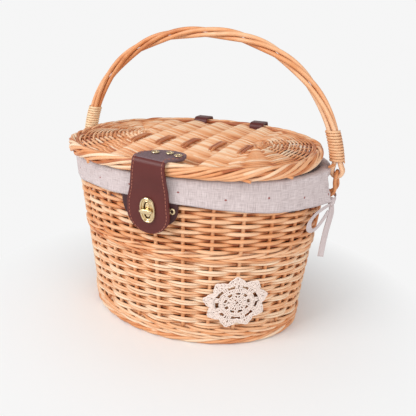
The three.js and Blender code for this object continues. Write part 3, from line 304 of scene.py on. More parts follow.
# %% [markdown]
# ## Finishes
# Each finish is a few nodes. Willow takes its colour from the rod's tone through a ramp from
# cream to red-brown, with a fine grain drawn out along the rod. Linen is two sets of threads,
# leather a fine pebble, brass a metal with faint wear. A picture of willow could be laid on the
# rods, but it would repeat. Noise that follows each rod doesn't.

# %% Node helper
def new_finish(name, colour, roughness):
    material = bpy.data.materials.new(name)
    material.use_nodes = True
    tree = material.node_tree
    shader = tree.nodes["Principled BSDF"]
    shader.inputs["Base Color"].default_value = (*colour, 1)
    shader.inputs["Roughness"].default_value = roughness
    return material, tree, shader


def node(tree, kind, **values):
    made = tree.nodes.new(kind)
    for key, value in values.items():
        if hasattr(made, key):
            setattr(made, key, value)
        else:
            made.inputs[key.replace("_", " ")].default_value = value
    return made


def ramp(tree, source, stops):
    made = tree.nodes.new("ShaderNodeValToRGB")
    tree.links.new(source, made.inputs["Fac"])
    while len(made.color_ramp.elements) < len(stops):
        made.color_ramp.elements.new(0.5)
    for element, (position, colour) in zip(made.color_ramp.elements, stops):
        element.position = position
        element.color = (*colour, 1)
    return made.outputs["Color"]


def maths(tree, operation, a, b=None, c=None, clamp=False):
    made = node(tree, "ShaderNodeMath", operation=operation, use_clamp=clamp)
    for i, value in enumerate((a, b, c)):
        if value is None:
            continue
        if isinstance(value, (int, float)):
            made.inputs[i].default_value = value
        else:
            tree.links.new(value, made.inputs[i])
    return made.outputs[0]


def mixed(tree, factor, a, b, blend="MIX"):
    made = node(tree, "ShaderNodeMix", data_type="RGBA", blend_type=blend)
    for i, value in ((0, factor), (6, a), (7, b)):  # sockets 6 and 7 are the two colours
        if isinstance(value, (int, float)):
            made.inputs[i].default_value = value
        elif isinstance(value, tuple):
            made.inputs[i].default_value = (*value, 1)
        else:
            tree.links.new(value, made.inputs[i])
    return made.outputs[2]


def stretched_noise(tree, source, stretch, noise_scale, detail):
    mapping = node(tree, "ShaderNodeMapping", Scale=stretch)
    tree.links.new(source, mapping.inputs["Vector"])
    noise = node(tree, "ShaderNodeTexNoise", Scale=noise_scale, Detail=detail)
    tree.links.new(mapping.outputs["Vector"], noise.inputs["Vector"])
    return noise.outputs[0]


def bump(tree, shader, height, strength, distance):
    made = node(tree, "ShaderNodeBump", Strength=strength, Distance=distance)
    tree.links.new(height, made.inputs["Height"])
    tree.links.new(made.outputs["Normal"], shader.inputs["Normal"])


def object_noise(tree, scale, detail, stretch=(1, 1, 1)):
    """A noise that lies still on the object."""
    spot = node(tree, "ShaderNodeTexCoord").outputs["Object"]
    return stretched_noise(tree, spot, stretch, scale, detail)


def clouded(tree, shader, scale, detail, dark, light):
    """Let the colour drift between dark and light over a noise, and hand the noise on."""
    clouds = object_noise(tree, scale, detail)
    tree.links.new(mixed(tree, clouds, dark, light), shader.inputs["Base Color"])
    return clouds


# %% Willow and cane
CREAM = (0.90, 0.68, 0.48)
STRAW = (0.84, 0.465, 0.25)
TAN = (0.73, 0.30, 0.115)
RUST = (0.43, 0.115, 0.035)


def willow_finish(name, stops, roughness):
    material, tree, shader = new_finish(name, stops[1][1], roughness)
    tone = node(tree, "ShaderNodeAttribute", attribute_name="tone")
    rod_map = node(tree, "ShaderNodeUVMap", uv_map="rod").outputs["UV"]
    shade = maths(tree, "MULTIPLY_ADD", object_noise(tree, 45, 3), 0.5, -0.25)
    toned = maths(tree, "ADD", tone.outputs["Fac"], shade, clamp=True)
    colour = ramp(tree, toned, stops)
    grain = stretched_noise(tree, rod_map, (60, 1800, 1), 1, 4)
    dark = ramp(tree, grain, [(0.3, (0.62, 0.55, 0.5)), (0.5, (1, 1, 1)), (1, (1, 1, 1))])
    grained = mixed(tree, 0.55, colour, dark, "MULTIPLY")
    knots = stretched_noise(tree, rod_map, (14, 120, 1), 1, 1)
    spots = ramp(tree, knots, [(0, (1, 1, 1)), (0.7, (1, 1, 1)), (0.78, (0.5, 0.3, 0.18))])
    spotted = mixed(tree, 0.7, grained, spots, "MULTIPLY")
    tree.links.new(spotted, shader.inputs["Base Color"])
    rough = maths(tree, "MULTIPLY_ADD", grain, 0.3, roughness - 0.15)
    tree.links.new(rough, shader.inputs["Roughness"])
    bump(tree, shader, grain, 0.35, 0.0004)
    return material


WILLOW_STOPS = [(0.0, CREAM), (0.42, STRAW), (0.74, TAN), (1.0, RUST)]
willow = willow_finish("peeled_willow", WILLOW_STOPS, 0.43)
CANE_STOPS = [(0.0, (0.9, 0.72, 0.47)), (0.45, (0.86, 0.60, 0.36)), (1.0, (0.76, 0.36, 0.17))]
cane = willow_finish("split_cane", CANE_STOPS, 0.42)


def rod_tones(count, per_rod, low, high):
    """Tones along one row: a new rod is laid in every so often, at its own colour."""
    tones = np.empty(count)
    i = int(rng.integers(0, per_rod))
    value = rng.uniform(low, high)
    tones[:i] = value
    while i < count:
        length = int(per_rod * rng.uniform(0.7, 1.3))
        value = rng.uniform(low, high)
        lean = rng.uniform(-0.12, 0.12)
        piece = tones[i:i + length]
        piece[:] = value + np.linspace(-lean, lean, len(piece))
        i += length
    return tones


# %% [markdown]
# ## Wall weaving
# The wall is randed: a rod goes outside one stake and inside the next, and the next row does the
# opposite. The lower half takes its rods in thin pairs, the upper half single and thicker. A wale
# is three rods that pass outside the stakes by turns, which looks like a rope. The wall could be
# one smooth surface with bumps, but it would have no gaps and no broken edge, so every row is
# made. Its way in and out is one soft wave, counted in stakes.

# %% Rows of the wall
PER_STAKE = 8
turn = np.arange(STAKES * PER_STAKE) / PER_STAKE
STAKE_OUT = -5.0
BEND = 0.8
RISE = 0.24  # a rod sits a little higher where it passes outside a stake
PAINTED_BEND_SHADE = 0.5  # painted shade: the side of each bend that dives behind a stake is painted darker
LOWER_FROM = 22.6
LOWER_PITCH = 6.0
LOWER_ROWS = 15
PAIR_HALF = 1.42
UPPER_FROM = 122.2
UPPER_PITCH = 4.6
UPPER_ROWS = 16


def soft_wave(values, sharp):
    """A wave from -1 to 1 with flattened crests."""
    return np.tanh(sharp * values) / math.tanh(sharp)


def slow_noise(count, amount, waves=9):
    """Unevenness that drifts slowly round a row and meets itself again."""
    phase = 2 * math.pi * np.arange(count) / count
    total = np.zeros(count)
    for k in range(2, 2 + waves):
        total += rng.normal() * np.cos(k * phase + rng.uniform(0, 6.3)) / math.sqrt(waves)
    return amount * total


def wall_hoop(height, out, radius, tone):
    return hoop(wall(stake_angle(turn), height, out), radius, tone)


def randed_row(z, row, beside, radius, reach, per_rod, low, high):
    """One rod of a row. A pair of rods lies close where rows cross and spreads over the stakes."""
    weave = soft_wave(np.cos(math.pi * (turn + row)), BEND)
    out = STAKE_OUT + reach * weave + slow_noise(len(turn), 0.2)
    height = z + beside * (1 + 0.25 * np.abs(weave)) + RISE * reach * weave + slow_noise(len(turn), 0.3)
    thick = radius * (1 + 0.12 * np.abs(weave) + slow_noise(len(turn), 0.05, 12))
    # painted shade on the part of the rod that lies behind a stake
    tones = rod_tones(len(turn), per_rod, low, high) + PAINTED_BEND_SHADE * np.clip(-weave, 0, 1)
    return wall_hoop(height, out, thick, np.minimum(tones, 1))


thin_rod = dict(radius=1.55, reach=3.2, per_rod=75, low=0.0, high=0.52)
lower_rows = []
for row in range(LOWER_ROWS):
    middle = LOWER_FROM + LOWER_PITCH * (row + 0.5)
    for beside in (-PAIR_HALF, PAIR_HALF):
        lower_rows.append(randed_row(middle, row, beside, **thin_rod))
woven("lower_weaving", lower_rows, "basket", willow, ["lower_weave"])
thick_rod = dict(radius=2.22, reach=3.5, per_rod=60, low=0.1, high=0.8)
upper_rows = []
for row in range(UPPER_ROWS):
    middle = UPPER_FROM + UPPER_PITCH * (row + 0.5)
    upper_rows.append(randed_row(middle, row, 0.0, **thick_rod))
woven("upper_weaving", upper_rows, "basket", willow, ["upper_weave"])

# %% Wales
WALE_STEPS = 27  # the multiple of three nearest to the stakes, so that each rod meets itself
wale_turn = turn * WALE_STEPS / STAKES
FOOT_WALES = (
    dict(z=15.8, twist=1, radius=1.75, shift=0, centre=-3.8, reach=3.5, lift=1.6, low=0.1, high=0.8),
    dict(z=20.2, twist=1, radius=1.75, shift=1.4, centre=-3.9, reach=3.4, lift=1.5, low=0.1, high=0.75),
)
MIDDLE_WALES = (
    dict(z=115.3, twist=1, radius=1.8, shift=0.5, centre=-4.0, reach=3.4, lift=1.6, low=0.2, high=0.85),
    dict(z=119.8, twist=-1, radius=1.8, shift=1.2, centre=-4.0, reach=3.4, lift=1.6, low=0.2, high=0.85),
)


def waled_round(z, twist, radius, shift, centre, reach, lift, low, high):
    """One round of a wale: three rods that climb over each other by turns."""
    rods = []
    for k in range(3):
        phase = 2 * math.pi * (wale_turn + k + shift) / 3
        out = centre + reach * soft_wave(-np.cos(phase), 1.8)
        height = z + twist * lift * np.sin(phase) + slow_noise(len(turn), 0.15)
        rods.append(wall_hoop(height, out, radius, rod_tones(len(turn), 70, low, high)))
    return rods


for band, wales in (("foot", FOOT_WALES), ("middle", MIDDLE_WALES)):
    wale_rods = []
    for wale in wales:
        wale_rods += waled_round(**wale)
    woven(band + "_waling", wale_rods, "basket", willow, [band + "_wale"])

# %% Stakes and the foot border
stake_heights = np.linspace(13.2, 193.0, 14)
stake_thick = np.linspace(2.5, 2.3, 14)
stake_rods = []
for k in range(STAKES):
    path = wall(stake_angle(np.full(14, float(k))), stake_heights, STAKE_OUT + rng.normal(0, 0.15, 14))
    stake_rods.append(rod(path, stake_thick, rng.uniform(0.4, 0.75), sides=8))
woven("wall_stakes", stake_rods, "basket", willow, ["stakes"])

foot_rods = []
for height, out, radius in ((2.6, -6.2, 2.4), (9.0, -7.0, 2.2)):
    uneven = height + slow_noise(len(turn), 0.15)
    foot_rods.append(wall_hoop(uneven, out, radius, rod_tones(len(turn), 90, 0.3, 0.7)))
for strands, height, tall, turns, radius in ((4, 4.6, 2.5, 8, 2.05), (3, 10.8, 1.7, -11, 1.7)):
    for k in range(strands):
        phase = 2 * math.pi * (turns * turn / STAKES + k / strands)
        out = -3.5 + 2.6 * np.cos(phase) + slow_noise(len(turn), 0.2)
        climbing = height + tall * np.sin(phase)
        foot_rods.append(wall_hoop(climbing, out, radius, rod_tones(len(turn), 50, 0.0, 0.85)))
woven("foot_rope", foot_rods, "basket", willow, ["foot_border"])

# %% [markdown]
# ## Floor
# The floor is an oval of rods woven round crossed sticks. It hardly shows, but a basket is turned
# over and looked into, so it gets real rows too.

# %% Floor rows
FLOOR_Z = 6.5
FLOOR_HALF = (129, 94)
FLOOR_ROWS = 21
FLOOR_STICKS = 24
floor_angle = 2 * math.pi * np.arange(96) / 96
floor_rods = []
for row in range(FLOOR_ROWS):
    share = (row + 0.6) / (FLOOR_ROWS + 0.2)
    x, y = oval(FLOOR_HALF[0] * share, FLOOR_HALF[1] * share, 2, floor_angle)
    z = FLOOR_Z + 1.6 * np.cos(12 * floor_angle + math.pi * row)
    floor_rods.append(hoop(np.stack([x, y, z], -1), 2.1, rod_tones(len(x), 50, 0.1, 0.7)))
for k in range(FLOOR_STICKS):
    x, y = oval(FLOOR_HALF[0] - 1, FLOOR_HALF[1] - 1, 2, 2 * math.pi * (k + 0.5) / FLOOR_STICKS)
    path = np.array([[x * s, y * s, FLOOR_Z] for s in (0.08, 0.35, 0.7, 1.0)])
    floor_rods.append(rod(path, 1.3, rng.uniform(0.2, 0.6)))
woven("floor_weaving", floor_rods, "basket", willow, ["floor_weave"])

# %% [markdown]
# ## Cloth liner
# One cloth lines the floor and the walls, goes over the rim and hangs outside in soft folds. It is
# a single sheet, so it is told as a profile carried round the oval: floor, wall, rim, flap. The
# flap is cut open at each ear. A cloth simulation could hang it, but a told profile gives the
# same folds every time and stays clear of the rods. The plain linen has small printed dots, far
# apart.

# %% Liner sheet
CLOTH = 1.2
CLOTH_IN = 14.3
CLOTH_FLOOR = 14.7
CLOTH_TOP = 207.5
FLAP_TOP = 206
SLIT_HALF = 20
cloth_angle = 2 * math.pi * np.arange(520) / 520 - math.pi / 2
# where the tie draws the flap's edges: from y, to y, the point they go to, how much of the way
GATHERS = (
    (-40, -10, (172.6, -6.5, 172.5), 0.85),
    (52, 30, (172.5, 18.0, 174.0), 0.55),
)


def hem_height(angle):
    """The hem runs highest at the middle of the front and drops towards the right ear."""
    degrees = np.degrees(angle) % 360
    at = [0, 60, 180, 235, 262, 285, 297, 308, 317, 327, 343, 360]
    low = [171.5, 176, 176, 181, 183, 181.5, 178, 175.6, 174.3, 172.9, 171.5, 171.5]
    return np.interp(degrees, at, low)


def gathered(row, share):
    """Beside the right ear the flap's edges are drawn together over the ear's rod by the tie."""
    for start, end, goal, most in GATHERS:
        near = np.clip((row[:, 1] - start) / (end - start), 0, 1) * (row[:, 0] > 0)
        near = np.where((row[:, 1] - end) * (end - start) > 20 * abs(end - start), 0, near)
        pull = (most * near ** 2 * share ** (1.2 if start < 0 else 3))[:, None]
        row = row + pull * (np.array(goal) - row)
        if start < 0:
            creases = 1.2 * near * share * np.cos(row[:, 2] * 0.55)
            row[:, 0] += 2.6 * np.sin(math.pi * pull[:, 0]) + creases
    return row


def liner_grid():
    """Rings of points from the floor's middle to the hem, and the first ring of the flap."""
    angle = cloth_angle
    folds = 0.5 - 0.5 * np.cos(12 * angle + 0.7 * np.sin(3 * angle))
    fine_folds = 0.5 - 0.5 * np.cos(31 * angle + 1.3 * np.sin(4 * angle))
    hx, hy = wall_half(15) - np.array([CLOTH_IN, CLOTH_IN])
    rings = []
    for share in np.linspace(0.06, 1, 8):
        x, y = oval(hx * share, hy * share, OVAL_POWER, angle)
        rings.append(np.stack([x, y, np.full(len(x), CLOTH_FLOOR)], -1))
    for z in np.linspace(24, 160, 12):
        ripple = 0.9 * np.sin(17 * angle + z / 22) * min(1, (z - 15) / 60)
        rings.append(wall(angle, z, -CLOTH_IN - 0.4 * abs(ripple)))
    for z, out in [(176, -14.0), (190, -12.8), (200, -11.4), (206.5, -10.9)]:
        rings.append(wall(angle, z, out))
    for a in np.linspace(0, math.pi, 7):
        rings.append(wall(angle, CLOTH_TOP + 2.6 * math.sin(a), -4.6 - 6.0 * math.cos(a)))
    flap_start = len(rings)
    hem = hem_height(angle)
    for share in np.linspace(0.08, 1, 12):
        z = FLAP_TOP + (hem - FLAP_TOP) * share
        out = 1.1 + 1.9 * share * folds + 0.6 * share * fine_folds
        rings.append(gathered(wall(angle, z, out), share))
    return np.array(rings), flap_start


grid, flap_start = liner_grid()
rings, around = grid.shape[:2]
down = np.concatenate([[0], np.cumsum(np.linalg.norm(np.diff(grid, axis=0), axis=2).mean(1))]) * MM
along = np.arange(around + 1) / around * GIRTH * MM
flap_y = wall(cloth_angle, 190, 1.1)[:, 1]
face_y = (flap_y + np.roll(flap_y, -1)) / 2
in_slit = (face_y > EAR_Y - SLIT_HALF) & (face_y < EAR_Y + SLIT_HALF)
faces, uvs = [], []
for r in range(rings - 1):
    here, below = r * around, (r + 1) * around
    for k in range(around):
        j = (k + 1) % around
        if r >= flap_start and in_slit[k]:
            continue
        faces.append((here + k, below + k, below + j, here + j))
        uvs += [(along[k], down[r]), (along[k], down[r + 1])]
        uvs += [(along[k + 1], down[r + 1]), (along[k + 1], down[r])]
floor_middle = rings * around
for k in range(around):
    faces.append((k, (k + 1) % around, floor_middle))
    uvs += [(0, 0), (0.001, 0), (0, 0.001)]
points = np.concatenate([grid.reshape(-1, 3), [[0, 0, CLOTH_FLOOR]]]) * MM
liner_mesh = bpy.data.meshes.new("liner_cloth")
liner_mesh.from_pydata(points.tolist(), [], faces)
liner_mesh.uv_layers.new(name="cloth").data.foreach_set("uv", np.array(uvs, np.float32).ravel())
shade_smooth(liner_mesh)
liner = add_to_scene(bpy.data.objects.new("liner_cloth", liner_mesh))
apply_modifier(liner, "SOLIDIFY", thickness=CLOTH * MM, offset=0)

# %% Linen
linen, tree, shader = new_finish("linen", (0.62, 0.54, 0.535), 0.9)
cloth_map = node(tree, "ShaderNodeUVMap", uv_map="cloth").outputs["UV"]
warp = stretched_noise(tree, cloth_map, (1700, 90, 1), 1, 2)
weft = stretched_noise(tree, cloth_map, (90, 1700, 1), 1, 2)
weave = maths(tree, "MULTIPLY", maths(tree, "ADD", warp, weft), 0.5)
LINEN_STOPS = [(0.36, (0.43, 0.35, 0.345)), (0.5, (0.595, 0.505, 0.5)), (0.62, (0.69, 0.60, 0.595))]
threads = ramp(tree, weave, LINEN_STOPS)
dots = node(tree, "ShaderNodeTexVoronoi", voronoi_dimensions="2D", Scale=23.6, Randomness=0.1)
dot_place = node(tree, "ShaderNodeMapping", Location=(0.017, 0.0105, 0))
tree.links.new(cloth_map, dot_place.inputs["Vector"])
tree.links.new(dot_place.outputs["Vector"], dots.inputs["Vector"])
printed = maths(tree, "LESS_THAN", dots.outputs["Distance"], 0.028)
tree.links.new(mixed(tree, printed, threads, (0.30, 0.10, 0.09)), shader.inputs["Base Color"])
bump(tree, shader, weave, 0.5, 0.0004)

# painted shade: the cloth's back shows only through the gaps of the weaving, and it is coloured dark
# brown to stand in for the shade there
linen_back_painted_shade, tree, shader = new_finish("linen_back_painted_shade", (0.14, 0.045, 0.016), 0.95)
fibres = clouded(tree, shader, 300, 3, (0.06, 0.018, 0.007), (0.135, 0.043, 0.016))
bump(tree, shader, fibres, 0.5, 0.0004)
liner.data.materials.append(linen)
liner.data.materials.append(linen_back_painted_shade)
# the outward faces of the cloth behind the weaving take the painted shade
behind = 0
for face in liner.data.polygons:
    outward = face.normal.x * face.center.x + face.normal.y * face.center.y
    if 0.02 < face.center.z < 0.166 and outward > 0:
        face.material_index = 1
        behind += 1
print("liner:", behind, "faces of the back that show between the rods")
finish_piece(liner, "basket", linen, ["liner"])

# %% [markdown]
# ## Lid
# The lid is a race-track weave: rods run straight along the middle and turn round a fan of sticks
# at each end. Its border is a bundle of long rods that turn slowly round each other. The dome
# could be sculpted, but here one formula gives the height of every rod, so that rods that cross
# agree with each other.

# %% Lid border
LID_HALF = (155.5, 130.0)
LID_TILT = math.radians(1.5)
LID_ORIGIN = np.array([0.0, -6.0, 214.6])
FRONT_POWER = 2.5
BACK_POWER = 2.1
BORDER_WIDE = 12.4
BORDER_MIDDLE = -5.4
BORDER_HIGH = 7.6
BORDER_STRANDS = 9
BORDER_TURNS = 7
BORDER_POINTS = 360


def lid_power(y):
    """The lid is squarer in front than behind."""
    return np.where(np.asarray(y) < 0, FRONT_POWER, BACK_POWER)


def lid_place(points):
    """From the lid's own level to its place on the basket, with its slight tilt."""
    p = np.asarray(points, float)
    y = p[..., 1] * math.cos(LID_TILT) - p[..., 2] * math.sin(LID_TILT)
    z = p[..., 1] * math.sin(LID_TILT) + p[..., 2] * math.cos(LID_TILT)
    return np.stack([p[..., 0], y, z], -1) + LID_ORIGIN


border_angle = 2 * math.pi * np.arange(BORDER_POINTS) / BORDER_POINTS
border_rods = []


def border_point(angle, out, z):
    """A place in the lid's border: around it, out from its edge, up from the lid's level."""
    x, y = oval(LID_HALF[0] + out, LID_HALF[1] + out, lid_power(np.sin(angle)), angle)
    return lid_place(np.stack(np.broadcast_arrays(x, y, z), -1))


for k in range(BORDER_STRANDS):
    drift = slow_noise(BORDER_POINTS, 0.4, 7)
    phase = 2 * math.pi * k / BORDER_STRANDS + BORDER_TURNS * border_angle + drift
    z = BORDER_HIGH + 5.4 * np.sin(phase) + slow_noise(BORDER_POINTS, 0.25, 12)
    out = BORDER_MIDDLE + 3.4 * np.cos(phase) + slow_noise(BORDER_POINTS, 0.25, 12)
    thick = 1.86 * (1 + slow_noise(BORDER_POINTS, 0.1, 8))
    tones = rod_tones(BORDER_POINTS, 110, 0.0, 0.95)
    border_rods.append(hoop(border_point(border_angle, out, z), thick, tones, 8))
for aside in (1.2, -1.2):
    out = BORDER_MIDDLE + aside + slow_noise(BORDER_POINTS, 0.3)
    core = border_point(border_angle, out, BORDER_HIGH + slow_noise(BORDER_POINTS, 0.4))
    border_rods.append(hoop(core, 2.2, 0.8))
for out, z in ((-10.7, 11.2), (-10.9, 7.4)):
    out = out + slow_noise(BORDER_POINTS, 0.2)
    path = border_point(border_angle, out, z + slow_noise(BORDER_POINTS, 0.2))
    border_rods.append(hoop(path, 2.1, rod_tones(BORDER_POINTS, 110, 0.5, 1.0)))
# cut ends of the rods show here and there under the lid's edge
for degrees, reach in ((-57, 11), (-118, 7), (-33, 8), (64, 8), (130, 7)):
    s = np.linspace(0, 1, 5)
    angle = math.radians(degrees) + s * reach / LID_HALF[1]
    path = border_point(angle, -4.2 + 4.0 * s, 3.8 - 2.6 * s)
    border_rods.append(rod(path, 1.6, rng.uniform(0.6, 0.95), sides=8))
woven("lid_border_rods", border_rods, "lid", willow, ["lid_border"])

# %% Lid weave
FAN = 74.0  # the rods turn beyond this distance from the middle
PANEL_HALF = (LID_HALF[0] - BORDER_WIDE, LID_HALF[1] - BORDER_WIDE)
LID_ROWS = 31
RAYS = 7
RIDGE_PITCH = 34.5
RIDGE_X = -16.5
RIDGE_PEAK = 0.19
RIDGE_HIGH = 5.0
RAY_HIGH = 2.5
CROWN_EDGE = 13.5
CROWN_RISE = 3
CROSS_ROD = 1.9
PAIR_GAP = 1.95
LONG_HALF = 106
LONG_DEEP = 5.4
SHORT_FROM_TO = (-56.0, 8.0)  # the short rods on top of the weave reach from here to here
SHORT_DEEP = 7.2
SHORT_RISE = 4.3
SHORT_END = 19


def ridge(x):
    """The weave climbs steeply over a pair of hidden rods and falls slowly beside it, 0 to 1."""
    u = ((x - RIDGE_X) / RIDGE_PITCH + RIDGE_PEAK) % 1
    return eased(np.where(u < RIDGE_PEAK, u / RIDGE_PEAK, (1 - u) / (1 - RIDGE_PEAK)))


def crown_height(x, y):
    """Top of the lid's weave above its own level, a low dome."""
    power = lid_power(y)
    share = (np.abs(x / PANEL_HALF[0]) ** power + np.abs(y / PANEL_HALF[1]) ** power) ** (1 / power)
    return CROWN_EDGE + CROWN_RISE * (1 - np.minimum(share, 1) ** 2)


def fan_edge(turned):
    """The panel's outline round one fan, from its front corner at -1 to its back corner at 1."""
    power = lid_power(turned)
    widest = np.arccos((FAN / PANEL_HALF[0]) ** (power / 2))
    return oval(PANEL_HALF[0], PANEL_HALF[1], power, turned * widest)


def lap(share):
    """One lap of the weave: where it runs, where it is between the fans' rays, and the row pitch."""
    turned = np.linspace(-1, 1, 71)
    out_x, out_y = fan_edge(turned)
    fan_x, fan_y = FAN + (out_x - FAN) * share, out_y * share
    fan_pitch = np.hypot(out_x - FAN, out_y) / LID_ROWS
    rays = (turned + 1) / 2 * RAYS
    x = np.linspace(FAN, -FAN, 62)[1:-1]
    back_y = oval_reach(x, *PANEL_HALF, BACK_POWER)
    front_y = oval_reach(x, *PANEL_HALF, FRONT_POWER)[::-1]
    none = np.full(len(x), -1.0)
    lap_x = np.concatenate([fan_x, x, -fan_x[::-1], x[::-1]])
    lap_y = np.concatenate([fan_y, back_y * share, fan_y[::-1], -front_y * share])
    lap_rays = np.concatenate([rays, none, rays[::-1], none])
    pitch = np.concatenate([fan_pitch, back_y / LID_ROWS, fan_pitch[::-1], front_y / LID_ROWS])
    return lap_x, lap_y, lap_rays, pitch


lid_rods = []
for row in range(LID_ROWS):
    share = (row + 0.55) / LID_ROWS
    x, y, ray, pitch = lap(share)
    in_fan = np.clip((np.abs(x) - FAN + 5) / 14, 0, 1)
    over = 0.5 + 0.5 * soft_wave(np.cos(math.pi * (ray + row)), 1.3)
    radius = pitch * (0.44 + 0.025 * in_fan)
    sink = in_fan * (1 - over) * RAY_HIGH + (1 - in_fan) * (1 - ridge(x)) * RIDGE_HIGH
    height = crown_height(x, y) - sink - radius + slow_noise(len(x), 0.14, 14)
    path = np.stack([x, y + slow_noise(len(x), 0.16, 10), height], -1)
    thick = radius * (1 + slow_noise(len(x), 0.05, 10))
    # painted highlight and shade: the crest of each ridge is painted paler, its foot and the dips
    # between the rays darker
    wear_and_painted_light = 0.34 * (1 - in_fan) * (0.45 - ridge(x)) + 0.55 * in_fan * (0.85 - over)
    tones = np.clip(rod_tones(len(x), 60, 0.05, 0.85) + wear_and_painted_light, 0, 1)
    lid_rods.append(hoop(lid_place(path), thick, tones))

# Pairs of rods across the middle: long ones under each ridge, short ones on top of each valley
for k in range(-3, 4):
    for shift, on_top in ((0, False), (0.53, True)):
        for side in (-1, 1):
            middle = RIDGE_X + RIDGE_PITCH * (k + shift) + PAIR_GAP * side
            if abs(middle) >= FAN + 2:
                continue
            first, last = SHORT_FROM_TO if on_top else (-LONG_HALF, LONG_HALF)
            y = np.linspace(first, last, 26)
            x = middle + rng.normal(0, 0.25) + 0.5 * np.sin(y / 30 + k)
            if on_top:
                ends = np.clip(np.minimum(y - first, last - y) / SHORT_END, 0, 1)
                height = crown_height(x, y) - SHORT_DEEP + SHORT_RISE * eased(ends)
                tone = rng.uniform(0.82, 1.0)
            else:
                height = crown_height(x, y) - LONG_DEEP
                tone = rng.uniform(0.35, 0.8)
            lid_rods.append(rod(lid_place(np.stack([x, y, height], -1)), CROSS_ROD, tone))

# Rays of the fans
for side in (-1, 1):
    for k in range(1, RAYS):
        end_x, end_y = fan_edge(2 * k / RAYS - 1)
        s = np.linspace(0.03, 1, 12)
        x, y = side * (FAN + (end_x - FAN) * s), end_y * s
        height = crown_height(x, y) - 1.16 - RAY_HIGH / 2
        lid_rods.append(rod(lid_place(np.stack([x, y, height], -1)), 1.3, rng.uniform(0.3, 0.8)))
lid_panel = ["lid_centre_weave", "lid_fan_left", "lid_fan_right"]
woven("lid_weaving", lid_rods, "lid", willow, lid_panel)

# %% [markdown]
# ## Swing handle
# Two long rods run there and back, so four strands twist round each other. A straight bundle
# could be twisted and bent with modifiers. The path of each strand is worked out instead, because
# each rod also has to bend round the ears at the handle's feet and come back.

# %% Handle rods
ARCH_HALF = 173.3
ARCH_RISE = 173.3
ARCH_POWER = 2.18
ARCH_FOOT = 179
HANDLE_ROD = 2.6
STRAND_OUT = 5.8 / math.sqrt(2)
STRAND_TURNS = 2
STRANDS_FROM = 216
EYE_Z = 205
EYE_ROUND = 6


def arch(angle):
    x, z = oval(ARCH_HALF, ARCH_RISE, ARCH_POWER, angle)
    return x, ARCH_FOOT + z


def arch_angle(z):
    return math.asin(((z - ARCH_FOOT) / ARCH_RISE) ** (ARCH_POWER / 2))


EYE_X = float(arch(arch_angle(EYE_Z))[0])


def strand(number, share):
    """One of the four strands, which lie on a circle round the arch and turn along it."""
    start = arch_angle(STRANDS_FROM)
    angle = math.pi - start - share * (math.pi - 2 * start)
    x, z = arch(angle)
    nx, nz = arch(angle - 0.001)
    dx, dz = nx - x, nz - z
    long = np.hypot(dx, dz)
    spin = math.pi / 4 + number * math.pi / 2 + 2 * math.pi * STRAND_TURNS * eased(share)
    out = STRAND_OUT * np.cos(spin)
    y = EAR_Y + STRAND_OUT * np.sin(spin)
    return np.stack([x - out * dz / long, y, z + out * dx / long], -1)


def eye(side, y, start):
    """The bend at the handle's foot, where a rod goes round the ear and back up."""
    spread = math.radians(215)
    angle = -math.pi / 2 + start * side * np.linspace(spread / 2, -spread / 2, 11)
    x, z = side * EYE_X + EYE_ROUND * np.cos(angle), EYE_Z + EYE_ROUND * np.sin(angle)
    return np.stack([x, np.full(len(x), y), z], -1)


def smooth_path(points, per_span=6):
    """A soft curve that passes through a few points."""
    p = np.asarray(points, float)
    ext = np.concatenate([2 * p[:1] - p[1:2], p, 2 * p[-1:] - p[-2:-1]])
    out = []
    for k in range(1, len(ext) - 2):
        a, b, c, d = ext[k - 1:k + 3]
        for t in np.arange(per_span) / per_span:
            cubic = (3 * b - a - 3 * c + d) * t ** 3
            out.append(0.5 * (2 * b + (c - a) * t + (2 * a - 5 * b + 4 * c - d) * t ** 2 + cubic))
    out.append(ext[-2])
    return np.array(out)


share = np.linspace(0, 1, 90)
for name, first, second, light in (("front", 3, 2, 0.46), ("back", 0, 1, 0.6)):
    there, home = strand(first, share), strand(second, share)[::-1]
    outward = 1 if abs(there[-1][0]) > abs(home[0][0]) else -1
    around_right = eye(1, there[0][1], outward)
    around_left = eye(-1, there[0][1], outward)[::-1]
    butt = there[0] + 0.25 * (there[1] - there[0])
    path = np.concatenate([[butt], there[1:], around_right, home, around_left, there[:1]])
    tones = light + 0.2 * np.sin(np.linspace(0, 9, len(path))) + rng.normal(0, 0.02, len(path))
    handle = rod(path, HANDLE_ROD, tones, sides=12)
    woven("handle_" + name, [handle], "handle", willow, ["handle_rod_" + name])

# %% [markdown]
# ## Bindings and ears
# Split cane, flat and pale, is wound round the handle's foot and holds the four strands together
# over the eyes. A stack of rings would look much the same, but one long spiral has the slant of
# real turns. Each ear is one rod bent over and pushed down into the wall beside two stakes. A few
# points with a soft curve through them are enough for it.

# %% Bindings, rod end and ears
CANE_OUT = STRAND_OUT + HANDLE_ROD + 1.5
CANE_TURNS = 11
CANE_PITCH = 3.2
CANE_FROM = 216.2
TURN_STEPS = 18
for (name, side), low, high in zip(SIDES, (0.2, 0.7), (0.6, 1.0)):
    steps = np.arange(CANE_TURNS * TURN_STEPS + 1)
    z = CANE_FROM + CANE_PITCH * steps / TURN_STEPS
    middle = np.array([arch(arch_angle(v))[0] for v in z])
    spin = 2 * math.pi * steps / TURN_STEPS
    x, y = side * (middle + CANE_OUT * np.cos(spin)), EAR_Y + CANE_OUT * np.sin(spin)
    tones = rng.uniform(low, high, len(z))
    wound = rod(np.stack([x, y, z], -1), 1.5, tones, up=(0, 0, 1), sides=10, flat=0.55)
    woven("binding_" + name + "_cane", [wound], "handle", cane, ["binding_" + name])

foot_x = float(arch(arch_angle(215))[0]) - 2.9
end = [[foot_x, 3.9, 213.0], [foot_x - 1.2, -1, 213.1], [foot_x - 3, -8.1, 213.0]]
end_rod = rod(smooth_path(end), 1.7, 0.75, sides=10)
woven("handle_rod_end", [end_rod], "handle", willow, ["rod_end_right"])

